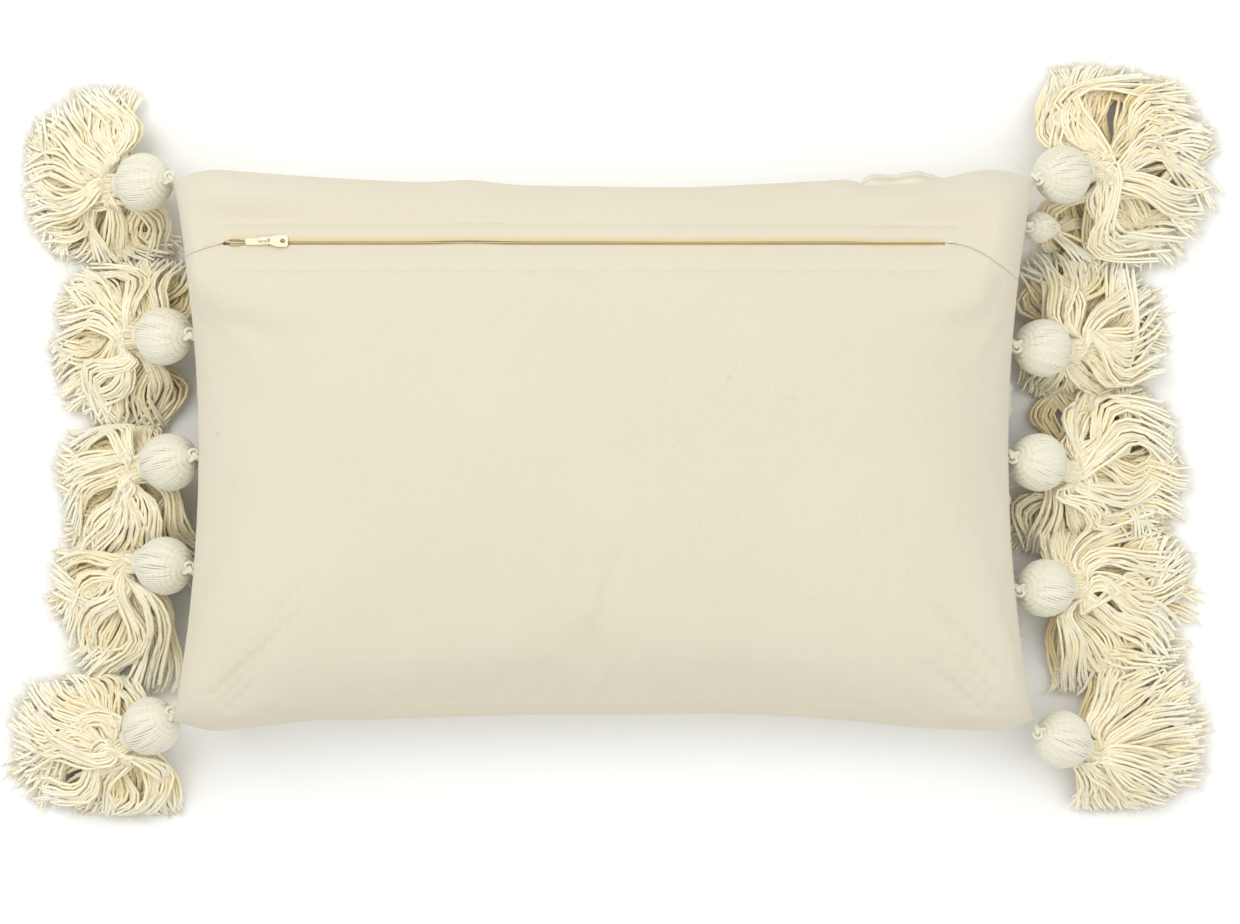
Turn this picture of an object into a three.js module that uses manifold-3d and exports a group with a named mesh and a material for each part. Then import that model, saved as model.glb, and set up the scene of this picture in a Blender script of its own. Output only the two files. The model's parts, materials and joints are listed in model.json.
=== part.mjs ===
// A tasselled lumbar pillow lying on its front, zip side up. Millimetres, +Z up, +X along the length.
// The origin is the centre of the patch on which the pillow rests.
import * as THREE from 'three';
import Module from 'manifold-3d';
import { mergeVertices } from 'three/addons/utils/BufferGeometryUtils.js';

// ---- Cover -------------------------------------------------------------------------------------
const coverLength = 610; // flat, seam to seam
const coverHeight = 406;
const cornerPull = 5; // each corner is drawn in by the filling
const sidePull = 18.5; // the middle of a short side is drawn in further than its corners
const edgePull = 14.5; // and so is the middle of a long side
const thickness = 140;
const seamHeight = 66; // the seam round the cover, above the surface that the pillow lies on
const restSquash = 0.17; // share of the lower crown that the surface flattens
const crownAlong = 4; // squareness of the crown along the length, in the middle of the pillow
const crownAlongGain = 8; // and how much squarer it is at the long seams
const crownAcross = 2.2; // the same across the pillow
const crownAcrossGain = 4;
const endFall = 0.42; // how the crown falls to the short seams
const sideFall = 0.5; // and to the long seams
const backCloth = 1.2;
const frontCloth = 2.4;
const layerGap = 0.5; // between one layer of the pillow and the next
const seamGap = 0.4; // between the two halves at a seam

// ---- Insert ------------------------------------------------------------------------------------
const insertCloth = 0.8;
const fillRim = 0.8; // half height of the filling's edge
const fillShort = 5; // the filling stops this far short of the case's seam

// ---- Zip ---------------------------------------------------------------------------------------
const zipFromTopSeam = 42; // from the middle of the top seam to the slit
const zipFromLeftCorner = 42; // from the left corner to the closed end
const zipOpening = 494;
const zipDraw = 4; // the tape is stiffer than the cloth and holds the crown down by this much
const bandHalf = 16; // the cloth lies flat this far each side of the slit
const bandFadeUp = 22; // and joins the crown over this much more, towards the top seam
const bandFadeDown = 50; // towards the bottom seam
const bandFadeEnd = 18; // and past the zip's ends
const bandPastEnd = 18;
const seamHold = 60; // the higher, the closer to the seams the band's pull reaches
const slitHalf = 1;
const tapeWidth = 14;
const tapeThick = 0.6;
const coilWidth = 2.2;
const coilHeight = 1.8;
const coilGap = 1.2; // half the way between the two coils, for the slider's neck
const zipClear = 0.3;
const stopLength = 2.7;

// ---- Slider and pull tab -----------------------------------------------------------------------
const sliderLength = 16;
const sliderWidth = 10; // lower plate, under the tapes
const capWidth = 5; // upper plate, over the slit
const plateThick = 1;
const plateRound = 2.4; // corner radius of the lower plate
const capRound = 1.6; // and of the upper plate
const capThick = 1.3;
const neckLength = 8;
const neckHalf = 0.7;
const bridgeHalf = 3.4;
const bridgeWidth = 2.2;
const bridgeBar = 1.1;
const bridgeClear = 2.4; // height inside the bridge
const bridgeSetBack = 0.4; // from the slider's end
const tabThick = 1.4;
const tabWindow = 4.5; // from the hinge line to the far end of the tab's window
const tabBar = 1.2;
const tabLength = 17; // from the hinge line to the tab's end
const tabWidth = 9;
const tabShoulder = 0.55; // share of its length where it reaches its full width
const tabCorner = 2.2;
const tabHoleRadius = 1.8;
const sliderFromStop = 14; // rest place of the slider's left end, from the left end of the slit

// ---- Tassels -----------------------------------------------------------------------------------
const tasselsPerSide = 5;
const endSeatInset = 9; // the first and last tassel sit this far from the corner
const tieLength = 6;
const tieRadius = 3.5;
const tieStandOff = 1; // of the tie from the seam
const headRadius = 20;
const neckRadius = 8;
const bindingHeight = 4;
const bindingThick = 2.6;
const neckHeight = 41; // of the neck above the surface on which the skirt rests
const skirtFlare = 8; // from the binding to where the skirt is as wide as the head
const skirtStartHeight = 16; // half height there
const skirtStartShare = 0.4; // most of the skirt's width along the seam that half of it takes there
const skirtGap = 1.6; // between the skirts of neighbouring tassels
const yarnGap = 0.3;
const tieGap = 0.6;
// Sections of a skirt on its way out: share of its reach, share of its width, half height, and lift.
const skirtSections = [
  { share: 0.35, spread: 0.95, height: 21, lift: 2 },
  { share: 0.72, spread: 1, height: 16, lift: 0 },
  { share: 1, spread: 0.78, height: 8, lift: 1 },
];
// A small tassel is tucked under the right side, this far along the seam from the first one.
const tucked = { belowFirst: 33, radius: 11, neckRadius: 5, droop: 50, reach: 64, spread: 14 };

// Tied by hand, so each sits a little off its even place along the seam (drift), is turned in plan
// (turn, degrees, positive towards +Y) and lies out to its own reach. parting is where its skirt meets
// the next one's, as a share of the way between the two.
const leftTassels = [
  { drift: 0, turn: -4, reach: 106, parting: 0.51 },
  { drift: -14.5, turn: 0, reach: 97, parting: 0.7 },
  { drift: -3.5, turn: -12, reach: 99, parting: 0.6 },
  { drift: 11.5, turn: 6, reach: 99, parting: 0.75 },
  { drift: 7, turn: -31, reach: 116 },
];
const rightTassels = [
  { drift: 0, turn: 10, reach: 136, parting: 0.5 },
  { drift: -21.5, turn: -4, reach: 113, parting: 0.46 },
  { drift: -3.5, turn: -14, reach: 129, parting: 0.62 },
  { drift: -2.5, turn: 0, reach: 128, parting: 0.69 },
  { drift: -6, turn: -21, reach: 129 },
];
const endSpread = { leftTop: 62, leftBottom: 80, rightTop: 86, rightBottom: 62 };

const part = new THREE.Group();
const radians = THREE.MathUtils.degToRad;
const lerp = THREE.MathUtils.lerp;

const finish = {
  backCloth: { color: 0xe8e0cc, roughness: 0.95, metalness: 0 },
  frontCloth: { color: 0xe9e5d4, roughness: 0.95, metalness: 0 },
  insertCloth: { color: 0xf4f3ee, roughness: 0.9, metalness: 0 },
  filling: { color: 0xfafaf7, roughness: 1, metalness: 0 },
  tape: { color: 0xe6dfc6, roughness: 0.9, metalness: 0 },
  coil: { color: 0xede7cf, roughness: 0.4, metalness: 0 },
  slider: { color: 0xefe9cf, roughness: 0.35, metalness: 0.1 },
  yarn: { color: 0xe9e5d2, roughness: 0.95, metalness: 0 },
};

function addMesh(parent, name, geometry, material) {
  const mesh = new THREE.Mesh(geometry, new THREE.MeshStandardMaterial(material));
  mesh.name = name;
  parent.add(mesh);
  return mesh;
}

function geometryFrom(points, triangles) {
  const geometry = new THREE.BufferGeometry();
  geometry.setAttribute('position', new THREE.Float32BufferAttribute(points.flatMap((p) => p.toArray()), 3));
  geometry.setIndex(triangles.flat());
  return geometry;
}

// ---- The pillow's surface ----------------------------------------------------------------------
// u and v run from -1 to 1 over the cover, along its length and its height.
const halfLength = (v, inset = 0) => coverLength / 2 - cornerPull - sidePull * (1 - v * v) - inset;
const halfHeight = (u, inset = 0) => coverHeight / 2 - cornerPull - edgePull * (1 - u * u) - inset;

// The crown is a full dome along the middle and squarer towards the long seams.
function crownShare(u, v) {
  const along = crownAlong + crownAlongGain * v ** 2;
  const across = crownAcross + crownAcrossGain * u ** 4;
  return (1 - Math.abs(u) ** along) ** endFall * (1 - Math.abs(v) ** across) ** sideFall;
}

const zipY = halfHeight(0) - zipFromTopSeam;
const zipLeft = -coverLength / 2 + cornerPull + zipFromLeftCorner;
const zipRight = zipLeft + zipOpening;
const backRise = thickness - seamHeight;
const zipLevel = seamHeight + backRise * crownShare(0, zipY / halfHeight(0)) - zipDraw;
const crownStep = 1;
const crownFall = backRise * (crownShare(0, (zipY - crownStep) / halfHeight(0))
  - crownShare(0, (zipY + crownStep) / halfHeight(0)));
const zipTilt = Math.atan2(crownFall, 2 * crownStep); // the zip's band faces up and towards +Y by this

const fade = (distance, flat, width) => 1 - THREE.MathUtils.smoothstep(distance, flat, flat + width);

// How much a place belongs to the flat band along the zip, from 0 to 1. The seams stay where they are.
function bandShare(u, v, y) {
  const x = u * halfLength(v);
  const up = (y - zipY) / Math.cos(zipTilt);
  const beyond = Math.max(zipLeft - x, x - zipRight, 0);
  const across = up > 0 ? fade(up, bandHalf, bandFadeUp) : fade(-up, bandHalf, bandFadeDown);
  return across * fade(beyond, bandPastEnd, bandFadeEnd) * (1 - u ** seamHold) * (1 - v ** seamHold);
}

// A point on the back (side 1) or the front (side -1), drawn in by inset. sink is how deep below the
// outer cloth a layer lies along the zip's band, and rim is half the way between the two sides' edges.
function coverPoint(u, v, side, inset, sink, rim) {
  const x = u * halfLength(v, inset);
  const y = v * halfHeight(u, inset);
  const crown = crownShare(u, v);
  if (side < 0) {
    const depth = (seamHeight * (1 + restSquash) - inset - rim) * crown;
    return new THREE.Vector3(x, y, Math.max(inset, seamHeight - rim - depth));
  }
  const dome = seamHeight + rim + (backRise - inset - rim) * crown;
  const band = zipLevel - sink / Math.cos(zipTilt) - (y - zipY) * Math.tan(zipTilt);
  return new THREE.Vector3(x, y, lerp(dome, band, bandShare(u, v, y)));
}

// Columns run across the pillow: close together at the ends, even along the zip.
function columnAt(x) {
  const settleSteps = 8;
  let u = x / halfLength(0);
  for (let k = 0; k < settleSteps; k += 1) u = x / halfLength(zipY / halfHeight(u));
  return u;
}
const stretch = (from, to, count, easing) =>
  Array.from({ length: count }, (_, k) => lerp(from, to, easing((k + 1) / count)));
const even = (t) => t;
const closeAtEnd = (t) => Math.sin((Math.PI / 2) * t);
const closeAtStart = (t) => 1 - Math.cos((Math.PI / 2) * t);
const columnDrift = 4; // a column leans by less than this over the width of the band
const bandStart = columnAt(zipLeft - bandPastEnd + columnDrift);
const bandEnd = columnAt(zipRight + bandPastEnd - columnDrift);
const endColumns = 3;
const bandColumns = 10;
const lowerRowCount = 8;
const upperRowCount = 4;
const columns = [
  -1,
  ...stretch(-1, bandStart, endColumns, closeAtStart),
  ...stretch(bandStart, bandEnd, bandColumns, even),
  ...stretch(bandEnd, 1, endColumns, closeAtEnd),
];

// Rows run along the pillow, from the bottom seam to the slit and from the slit to the top seam.
const rowAt = (u, inset, offset) => (zipY + offset * Math.cos(zipTilt)) / halfHeight(u, inset);
function lowerRows(u, inset, slitOffset, depth) {
  const band = rowAt(u, inset, -bandHalf);
  const slit = rowAt(u, inset, slitOffset - depth * Math.tan(zipTilt));
  return [-1, ...stretch(-1, band, lowerRowCount, closeAtStart), slit];
}
function upperRows(u, inset, slitOffset, depth) {
  const band = rowAt(u, inset, bandHalf);
  const slit = rowAt(u, inset, slitOffset - depth * Math.tan(zipTilt));
  return [slit, band, ...stretch(band, 1, upperRowCount, closeAtEnd)];
}
const wholeRows = (u, inset) => [...lowerRows(u, inset, 0, 0), ...upperRows(u, inset, 0, 0).slice(1)];

// The closed body between two sheets of points that share their layout, upper above lower.
function bodyBetween(upper, lower) {
  const across = upper[0].length;
  const lastI = upper.length - 1;
  const lastJ = across - 1;
  const top = (i, j) => i * across + j;
  const base = (i, j) => upper.length * across + i * across + j;
  const triangles = [];
  for (let i = 0; i < lastI; i += 1) {
    for (let j = 0; j < lastJ; j += 1) {
      triangles.push([top(i, j), top(i + 1, j), top(i + 1, j + 1)]);
      triangles.push([top(i, j), top(i + 1, j + 1), top(i, j + 1)]);
      triangles.push([base(i, j), base(i + 1, j + 1), base(i + 1, j)]);
      triangles.push([base(i, j), base(i, j + 1), base(i + 1, j + 1)]);
    }
  }
  function wall(a, b) {
    triangles.push([top(...a), base(...a), base(...b)]);
    triangles.push([top(...a), base(...b), top(...b)]);
  }
  for (let i = 0; i < lastI; i += 1) {
    wall([i, 0], [i + 1, 0]);
    wall([i + 1, lastJ], [i, lastJ]);
  }
  for (let j = 0; j < lastJ; j += 1) {
    wall([0, j + 1], [0, j]);
    wall([lastI, j], [lastI, j + 1]);
  }
  return geometryFrom([...upper.flat(), ...lower.flat()], triangles);
}

function layer(side, inset, sink, rim, rows) {
  return columns.map((u) => rows(u, inset).map((v) => coverPoint(u, v, side, inset, sink, rim)));
}

// ---- Cover panels ------------------------------------------------------------------------------
const rim = seamGap / 2;
for (const [name, rows, offset] of [['lower', lowerRows, -slitHalf], ['upper', upperRows, slitHalf]]) {
  const sheet = (depth) => layer(1, depth, depth, rim, (u, inset) => rows(u, inset, offset, depth));
  addMesh(part, `back_panel_${name}`, bodyBetween(sheet(0), sheet(backCloth)), finish.backCloth);
}
addMesh(part, 'front_panel', bodyBetween(
  layer(-1, frontCloth, 0, rim, wholeRows),
  layer(-1, 0, 0, rim, wholeRows),
), finish.frontCloth);

// ---- Insert: its case fills the cover, with a hollow left for the zip ---------------------------
const caseOutside = Math.max(backCloth, frontCloth) + layerGap;
const caseInside = caseOutside + insertCloth;
const fillOutside = caseInside + layerGap + fillShort;
const caseRim = rim / 2;
const coilTop = backCloth + zipClear;
const tapeTop = coilTop + coilHeight + zipClear;
const plateTop = tapeTop + tapeThick + zipClear;
const zipDepth = plateTop + plateThick + 2 * zipClear;

addMesh(part, 'insert_case_back', bodyBetween(
  layer(1, caseOutside, zipDepth, caseRim, wholeRows),
  layer(1, caseInside, zipDepth + insertCloth, caseRim, wholeRows),
), finish.insertCloth);
addMesh(part, 'insert_case_front', bodyBetween(
  layer(-1, caseInside, 0, caseRim, wholeRows),
  layer(-1, caseOutside, 0, caseRim, wholeRows),
), finish.insertCloth);
addMesh(part, 'insert_filling', bodyBetween(
  layer(1, fillOutside, zipDepth + insertCloth + layerGap + fillShort, fillRim, wholeRows),
  layer(-1, fillOutside, 0, fillRim, wholeRows),
), finish.filling);

// ---- Zip: everything in its own frame, x along the slit, y up the band, z out of the cloth ------
const zip = new THREE.Group();
zip.position.set(0, zipY, zipLevel);
zip.rotation.x = -zipTilt;
part.add(zip);

function boxFrom(low, high) {
  const size = high.map((value, k) => value - low[k]);
  return new THREE.BoxGeometry(...size).translate(...low.map((value, k) => value + size[k] / 2));
}

for (const [side, name] of [[1, 'upper'], [-1, 'lower']]) {
  const strip = (from, to, low, high, start, end) => (side > 0
    ? boxFrom([start, from, low], [end, to, high])
    : boxFrom([start, -to, low], [end, -from, high]));
  const coilEnds = [zipLeft + stopLength + zipClear, zipRight - stopLength - zipClear];
  addMesh(zip, `zip_tape_${name}`, strip(coilGap, coilGap + tapeWidth, -tapeTop - tapeThick, -tapeTop,
    zipLeft - stopLength, zipRight + stopLength), finish.tape);
  addMesh(zip, `zip_coil_${name}`, strip(coilGap, coilGap + coilWidth, -coilTop - coilHeight, -coilTop,
    ...coilEnds), finish.coil);
  addMesh(zip, `zip_top_stop_${name}`, strip(coilGap, coilGap + coilWidth, -coilTop - coilHeight, -coilTop,
    zipLeft, zipLeft + stopLength), finish.coil);
}
addMesh(zip, 'zip_bottom_stop', boxFrom(
  [zipRight - stopLength, -coilGap - coilWidth, -coilTop - coilHeight],
  [zipRight, coilGap + coilWidth, -coilTop],
), finish.coil);

// ---- Slider: a lower plate under the tapes, a neck up through the slit, a cap and its bridge -----
const wasm = await Module();
wasm.setup();

function solidOf(geometry) {
  const bare = geometry.clone();
  bare.deleteAttribute('normal');
  bare.deleteAttribute('uv');
  const merged = mergeVertices(bare);
  return new wasm.Manifold(new wasm.Mesh({
    numProp: 3,
    vertProperties: new Float32Array(merged.attributes.position.array),
    triVerts: new Uint32Array(merged.index.array),
  }));
}

function joined(geometries) {
  const mesh = geometries.map(solidOf).reduce((whole, next) => whole.add(next)).getMesh();
  const geometry = new THREE.BufferGeometry();
  geometry.setAttribute('position', new THREE.Float32BufferAttribute(mesh.vertProperties, 3));
  geometry.setIndex([...mesh.triVerts]);
  return geometry;
}

function roundedPlate(length, width, radius, low, high) {
  const shape = new THREE.Shape();
  const x = length / 2 - radius;
  const y = width / 2 - radius;
  shape.absarc(x, y, radius, 0, Math.PI / 2);
  shape.absarc(-x, y, radius, Math.PI / 2, Math.PI);
  shape.absarc(-x, -y, radius, Math.PI, 1.5 * Math.PI);
  shape.absarc(x, -y, radius, 1.5 * Math.PI, 2 * Math.PI);
  return new THREE.ExtrudeGeometry(shape, { depth: high - low, bevelEnabled: false, curveSegments: 4 })
    .translate(0, 0, low);
}

const sliderX = zipLeft + sliderFromStop + sliderLength / 2;
const capTop = zipClear + capThick;
const hingeX = sliderLength / 2 - bridgeHalf - bridgeSetBack;
const hingeZ = capTop + bridgeClear / 2;
const sink = 0.3; // the slider's pieces are cast in one, each sunk this far into the next

function bridgeGeometry() {
  const outline = new THREE.Shape();
  const eye = bridgeHalf - bridgeBar;
  outline.moveTo(-bridgeHalf, -sink);
  outline.lineTo(-eye, -sink);
  outline.lineTo(-eye, bridgeClear);
  outline.lineTo(eye, bridgeClear);
  outline.lineTo(eye, -sink);
  outline.lineTo(bridgeHalf, -sink);
  outline.lineTo(bridgeHalf, bridgeClear);
  outline.lineTo(eye, bridgeClear + bridgeBar);
  outline.lineTo(-eye, bridgeClear + bridgeBar);
  outline.lineTo(-bridgeHalf, bridgeClear);
  return new THREE.ExtrudeGeometry(outline, { depth: bridgeWidth, bevelEnabled: false })
    .rotateX(Math.PI / 2)
    .translate(hingeX, bridgeWidth / 2, capTop);
}

const slider = new THREE.Group();
slider.position.x = sliderX;
zip.add(slider);
addMesh(slider, 'zip_slider', joined([
  roundedPlate(sliderLength, sliderWidth, plateRound, -plateTop - plateThick, -plateTop),
  boxFrom(
    [-neckLength / 2, -neckHalf, -plateTop - plateThick + sink],
    [neckLength / 2, neckHalf, capTop - sink],
  ),
  roundedPlate(sliderLength, capWidth, capRound, zipClear, capTop),
  bridgeGeometry(),
]), finish.slider);

function tabGeometry() {
  const bar = tabThick / 2;
  const eyeHalf = bridgeWidth / 2 + zipClear;
  const railHalf = eyeHalf + tabBar;
  const outline = new THREE.Shape();
  outline.moveTo(-bar, -railHalf);
  outline.lineTo(tabWindow, -railHalf);
  outline.lineTo(tabLength * tabShoulder, -tabWidth / 2);
  outline.absarc(tabLength - tabCorner, -tabWidth / 2 + tabCorner, tabCorner, -Math.PI / 2, 0);
  outline.absarc(tabLength - tabCorner, tabWidth / 2 - tabCorner, tabCorner, 0, Math.PI / 2);
  outline.lineTo(tabLength * tabShoulder, tabWidth / 2);
  outline.lineTo(tabWindow, railHalf);
  outline.lineTo(-bar, railHalf);
  const window = new THREE.Path();
  window.moveTo(bar, -eyeHalf);
  window.lineTo(bar, eyeHalf);
  window.lineTo(tabWindow, eyeHalf);
  window.lineTo(tabWindow, -eyeHalf);
  const hole = new THREE.Path();
  hole.absarc(tabLength - 2 * tabHoleRadius, 0, tabHoleRadius, 0, 2 * Math.PI, true);
  outline.holes.push(window, hole);
  return new THREE.ExtrudeGeometry(outline, { depth: tabThick, bevelEnabled: false, curveSegments: 5 })
    .translate(0, 0, -tabThick / 2);
}

const tab = addMesh(slider, 'zip_pull_tab', tabGeometry(), finish.slider);
tab.position.set(hingeX, 0, hingeZ);
tab.rotation.y = Math.asin((hingeZ - tabThick / 2 - 2 * zipClear) / tabLength); // its end drops to the cloth

// ---- Tassels -----------------------------------------------------------------------------------
// A closed body through rings of points, each ring with the same number of points.
function loft(rings) {
  const count = rings[0].length;
  const points = rings.flat();
  const centre = (ring) => ring.reduce((sum, p) => sum.add(p), new THREE.Vector3()).divideScalar(count);
  const first = points.push(centre(rings[0])) - 1;
  const last = points.push(centre(rings.at(-1))) - 1;
  const triangles = [];
  for (let k = 0; k < count; k += 1) {
    const next = (k + 1) % count;
    for (let r = 0; r + 1 < rings.length; r += 1) {
      const [a, b] = [r * count, (r + 1) * count];
      triangles.push([a + k, a + next, b + next], [a + k, b + next, b + k]);
    }
    const end = (rings.length - 1) * count;
    triangles.push([first, next, k], [last, end + k, end + next]);
  }
  return geometryFrom(points, triangles);
}

const roundSides = 12;
function ringOf(centre, across, up, halfWidth, halfHeight) {
  return Array.from({ length: roundSides }, (_, k) => {
    const angle = (2 * Math.PI * k) / roundSides;
    return centre.clone().addScaledVector(across, halfWidth * Math.cos(angle))
      .addScaledVector(up, halfHeight * Math.sin(angle));
  });
}

const lathe = (profile) =>
  new THREE.LatheGeometry(profile.map(([r, y]) => new THREE.Vector2(r, y)), roundSides);

// Part of an ellipse, as [radius, height] pairs, whose ends at the poles lie on the axis.
const arcOf = (radius, centre, halfHigh, from, to, count) => Array.from({ length: count + 1 }, (_, k) => {
  const angle = lerp(from, to, k / count);
  const onAxis = Math.abs(Math.cos(angle)) < 1e-6;
  return [onAxis ? 0 : radius * Math.cos(angle), centre + halfHigh * Math.sin(angle)];
});

// A tassel hangs from its seat on the seam; its skirt spreads from low to high along the seam and lies
// out to reach.
function addTassel(name, { side, seat, droop, turn, radius, neckRadius: throat, reach, low, high }) {
  const level = Math.cos(droop);
  const axis = new THREE.Vector3(side * level * Math.cos(turn), level * Math.sin(turn), -Math.sin(droop));
  const hung = new THREE.Group();
  hung.position.copy(seat);
  hung.quaternion.setFromUnitVectors(new THREE.Vector3(0, 1, 0), axis);
  part.add(hung);

  const knotSteps = 6;
  const knot = arcOf(tieRadius, tieLength / 2, tieLength / 2 - tieGap, -Math.PI / 2, Math.PI / 2, knotSteps);
  addMesh(hung, `${name}_tie`, lathe(knot), finish.yarn);
  const neckAngle = Math.acos(throat / radius);
  const ballSteps = 8;
  const ball = arcOf(radius, tieLength + radius, radius, -Math.PI / 2, neckAngle, ballSteps);
  const neck = ball.at(-1)[1];
  addMesh(hung, `${name}_head`, lathe([...ball, [0, neck]]), finish.yarn);
  const bound = neck + yarnGap;
  const inner = throat + yarnGap;
  const outer = inner + bindingThick;
  const bevel = bindingHeight / 4;
  addMesh(hung, `${name}_binding`, lathe([
    [inner, bound],
    [outer, bound + bevel],
    [outer, bound + bindingHeight - bevel],
    [inner, bound + bindingHeight],
    [inner, bound],
  ]), finish.yarn);

  const along = (distance) => seat.clone().addScaledVector(axis, distance);
  const across = new THREE.Vector3(-Math.sin(turn), side * Math.cos(turn), 0);
  const up = new THREE.Vector3().crossVectors(axis, across);
  const stem = (distance) => ringOf(along(distance), across, up, throat - yarnGap, throat - yarnGap);
  const bulk = radius / headRadius;
  const start = along(bound + bindingHeight + skirtFlare * bulk);
  const startHalf = Math.min(radius, (high - low) * skirtStartShare);
  start.y = THREE.MathUtils.clamp(start.y, low + startHalf, high - startHalf);
  const startOut = Math.abs(start.x - seat.x);
  const rings = [
    stem(bound),
    stem(bound + bindingHeight + yarnGap),
    ringOf(start, across, up, startHalf, skirtStartHeight * bulk),
  ];
  for (const { share, spread, height, lift } of skirtSections) {
    const middle = lerp(start.y, (low + high) / 2, share);
    const out = side * lerp(startOut, reach, share);
    const place = new THREE.Vector3(seat.x + out, middle, (height + lift) * bulk);
    const room = Math.min(high - middle, middle - low, ((high - low) / 2) * spread);
    rings.push(ringOf(place, new THREE.Vector3(0, side, 0), new THREE.Vector3(0, 0, 1), room, height * bulk));
  }
  addMesh(part, `${name}_skirt`, loft(rings), finish.yarn);
}

const seamSeat = (side, y) =>
  new THREE.Vector3(side * (halfLength(y / halfHeight(1)) + tieStandOff), y, seamHeight);
const firstSeat = halfHeight(1) - endSeatInset;
const evenPitch = (2 * firstSeat) / (tasselsPerSide - 1);
const droop = Math.asin((seamHeight - neckHeight) / (tieLength + 2 * headRadius));

for (const [side, label, tassels] of [[-1, 'left', leftTassels], [1, 'right', rightTassels]]) {
  const seats = tassels.map(({ drift }, k) => firstSeat - k * evenPitch + drift);
  tassels.forEach(({ turn, reach }, k) => {
    const meets = (upper) => lerp(seats[upper], seats[upper + 1], tassels[upper].parting);
    let high = k > 0 ? meets(k - 1) - skirtGap / 2 : seats[k] + endSpread[`${label}Top`];
    let low = k < tasselsPerSide - 1 ? meets(k) + skirtGap / 2 : seats[k] - endSpread[`${label}Bottom`];
    const tuckedSeat = seats[0] - tucked.belowFirst;
    if (side > 0 && k === 0) low = tuckedSeat + tucked.spread + skirtGap;
    if (side > 0 && k === 1) high = tuckedSeat - tucked.spread - skirtGap;
    addTassel(`tassel_${label}_${k + 1}`, {
      side, droop, reach, low, high, neckRadius, radius: headRadius, turn: radians(turn),
      seat: seamSeat(side, seats[k]),
    });
  });
}

const tuckedY = firstSeat + rightTassels[0].drift - tucked.belowFirst;
addTassel('tassel_right_tucked', {
  ...tucked, side: 1, turn: 0, droop: radians(tucked.droop), seat: seamSeat(1, tuckedY),
  low: tuckedY - tucked.spread, high: tuckedY + tucked.spread,
});

export default part;
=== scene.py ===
import json
import math

import bpy
import numpy as np
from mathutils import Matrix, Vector


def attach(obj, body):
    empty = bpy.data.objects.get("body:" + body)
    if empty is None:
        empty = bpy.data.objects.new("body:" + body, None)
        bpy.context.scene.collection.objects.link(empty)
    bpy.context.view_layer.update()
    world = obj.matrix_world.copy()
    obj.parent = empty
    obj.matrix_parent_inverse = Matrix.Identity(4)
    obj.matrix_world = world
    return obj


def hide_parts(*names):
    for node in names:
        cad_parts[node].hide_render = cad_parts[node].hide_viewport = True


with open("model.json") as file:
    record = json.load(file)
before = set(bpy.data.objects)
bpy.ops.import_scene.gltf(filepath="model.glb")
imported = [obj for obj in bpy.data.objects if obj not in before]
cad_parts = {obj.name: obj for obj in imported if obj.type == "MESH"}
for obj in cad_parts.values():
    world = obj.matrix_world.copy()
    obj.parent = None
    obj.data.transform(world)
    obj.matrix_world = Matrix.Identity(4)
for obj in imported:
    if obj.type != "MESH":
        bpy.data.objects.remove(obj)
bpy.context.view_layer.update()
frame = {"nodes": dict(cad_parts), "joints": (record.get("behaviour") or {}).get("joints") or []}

# ---- Studio --------------------------------------------------------------------------------------
# The pillow lies on a plain pale table, zip side up, and is seen from straight above.
# A bright even sky and two soft panels leave only faint shadows.
seam_height = 0.066
view_centre = (0.0115, -0.0083)
view_width = 0.862  # what the frame takes in, at the height of the seam
lens, sensor = 100, 36

camera_data = bpy.data.cameras.new("camera")
camera_data.lens = lens
camera_data.sensor_width = sensor
camera_data.clip_end = 50
camera = bpy.data.objects.new("camera", camera_data)
camera.location = (*view_centre, seam_height + view_width * lens / sensor)
bpy.context.scene.collection.objects.link(camera)
bpy.context.scene.camera = camera
bpy.context.scene.view_settings.view_transform = "Standard"

sky = bpy.data.worlds.new("sky")
sky.use_nodes = True
sky_light = sky.node_tree.nodes["Background"]
sky_light.inputs["Color"].default_value = (1, 0.995, 0.98, 1)
sky_light.inputs["Strength"].default_value = 0.72
bpy.context.scene.world = sky


def soft_panel(name, place, size, power):
    light = bpy.data.lights.new(name, "AREA")
    light.size = size
    light.energy = power
    panel = bpy.data.objects.new(name, light)
    panel.location = place
    panel.rotation_euler = (-Vector(place)).to_track_quat("-Z", "Y").to_euler()
    bpy.context.scene.collection.objects.link(panel)


soft_panel("panel_upper_left", (-1.0, 1.0, 2.3), 1.5, 26)
soft_panel("panel_lower_right", (1.1, -0.3, 2.5), 2.2, 19)


class Value:
    """One value or colour of a finish; Python's own operators work on it."""

    def __init__(self, finish, socket):
        self.finish = finish
        self.socket = socket

    def maths(self, operation, *values):
        return self.finish.node("ShaderNodeMath", {"operation": operation}, values)

    def __add__(self, other):
        return self.maths("ADD", self, other)

    def __sub__(self, other):
        return self.maths("SUBTRACT", self, other)

    def __rsub__(self, other):
        return self.maths("SUBTRACT", other, self)

    def __mul__(self, other):
        return self.maths("MULTIPLY", self, other)

    def sine(self):
        return self.maths("SINE", self)

    def above(self, limit):
        return self.maths("GREATER_THAN", self, limit)

    def below(self, limit):
        return self.maths("LESS_THAN", self, limit)

    __radd__ = __add__
    __rmul__ = __mul__


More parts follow.
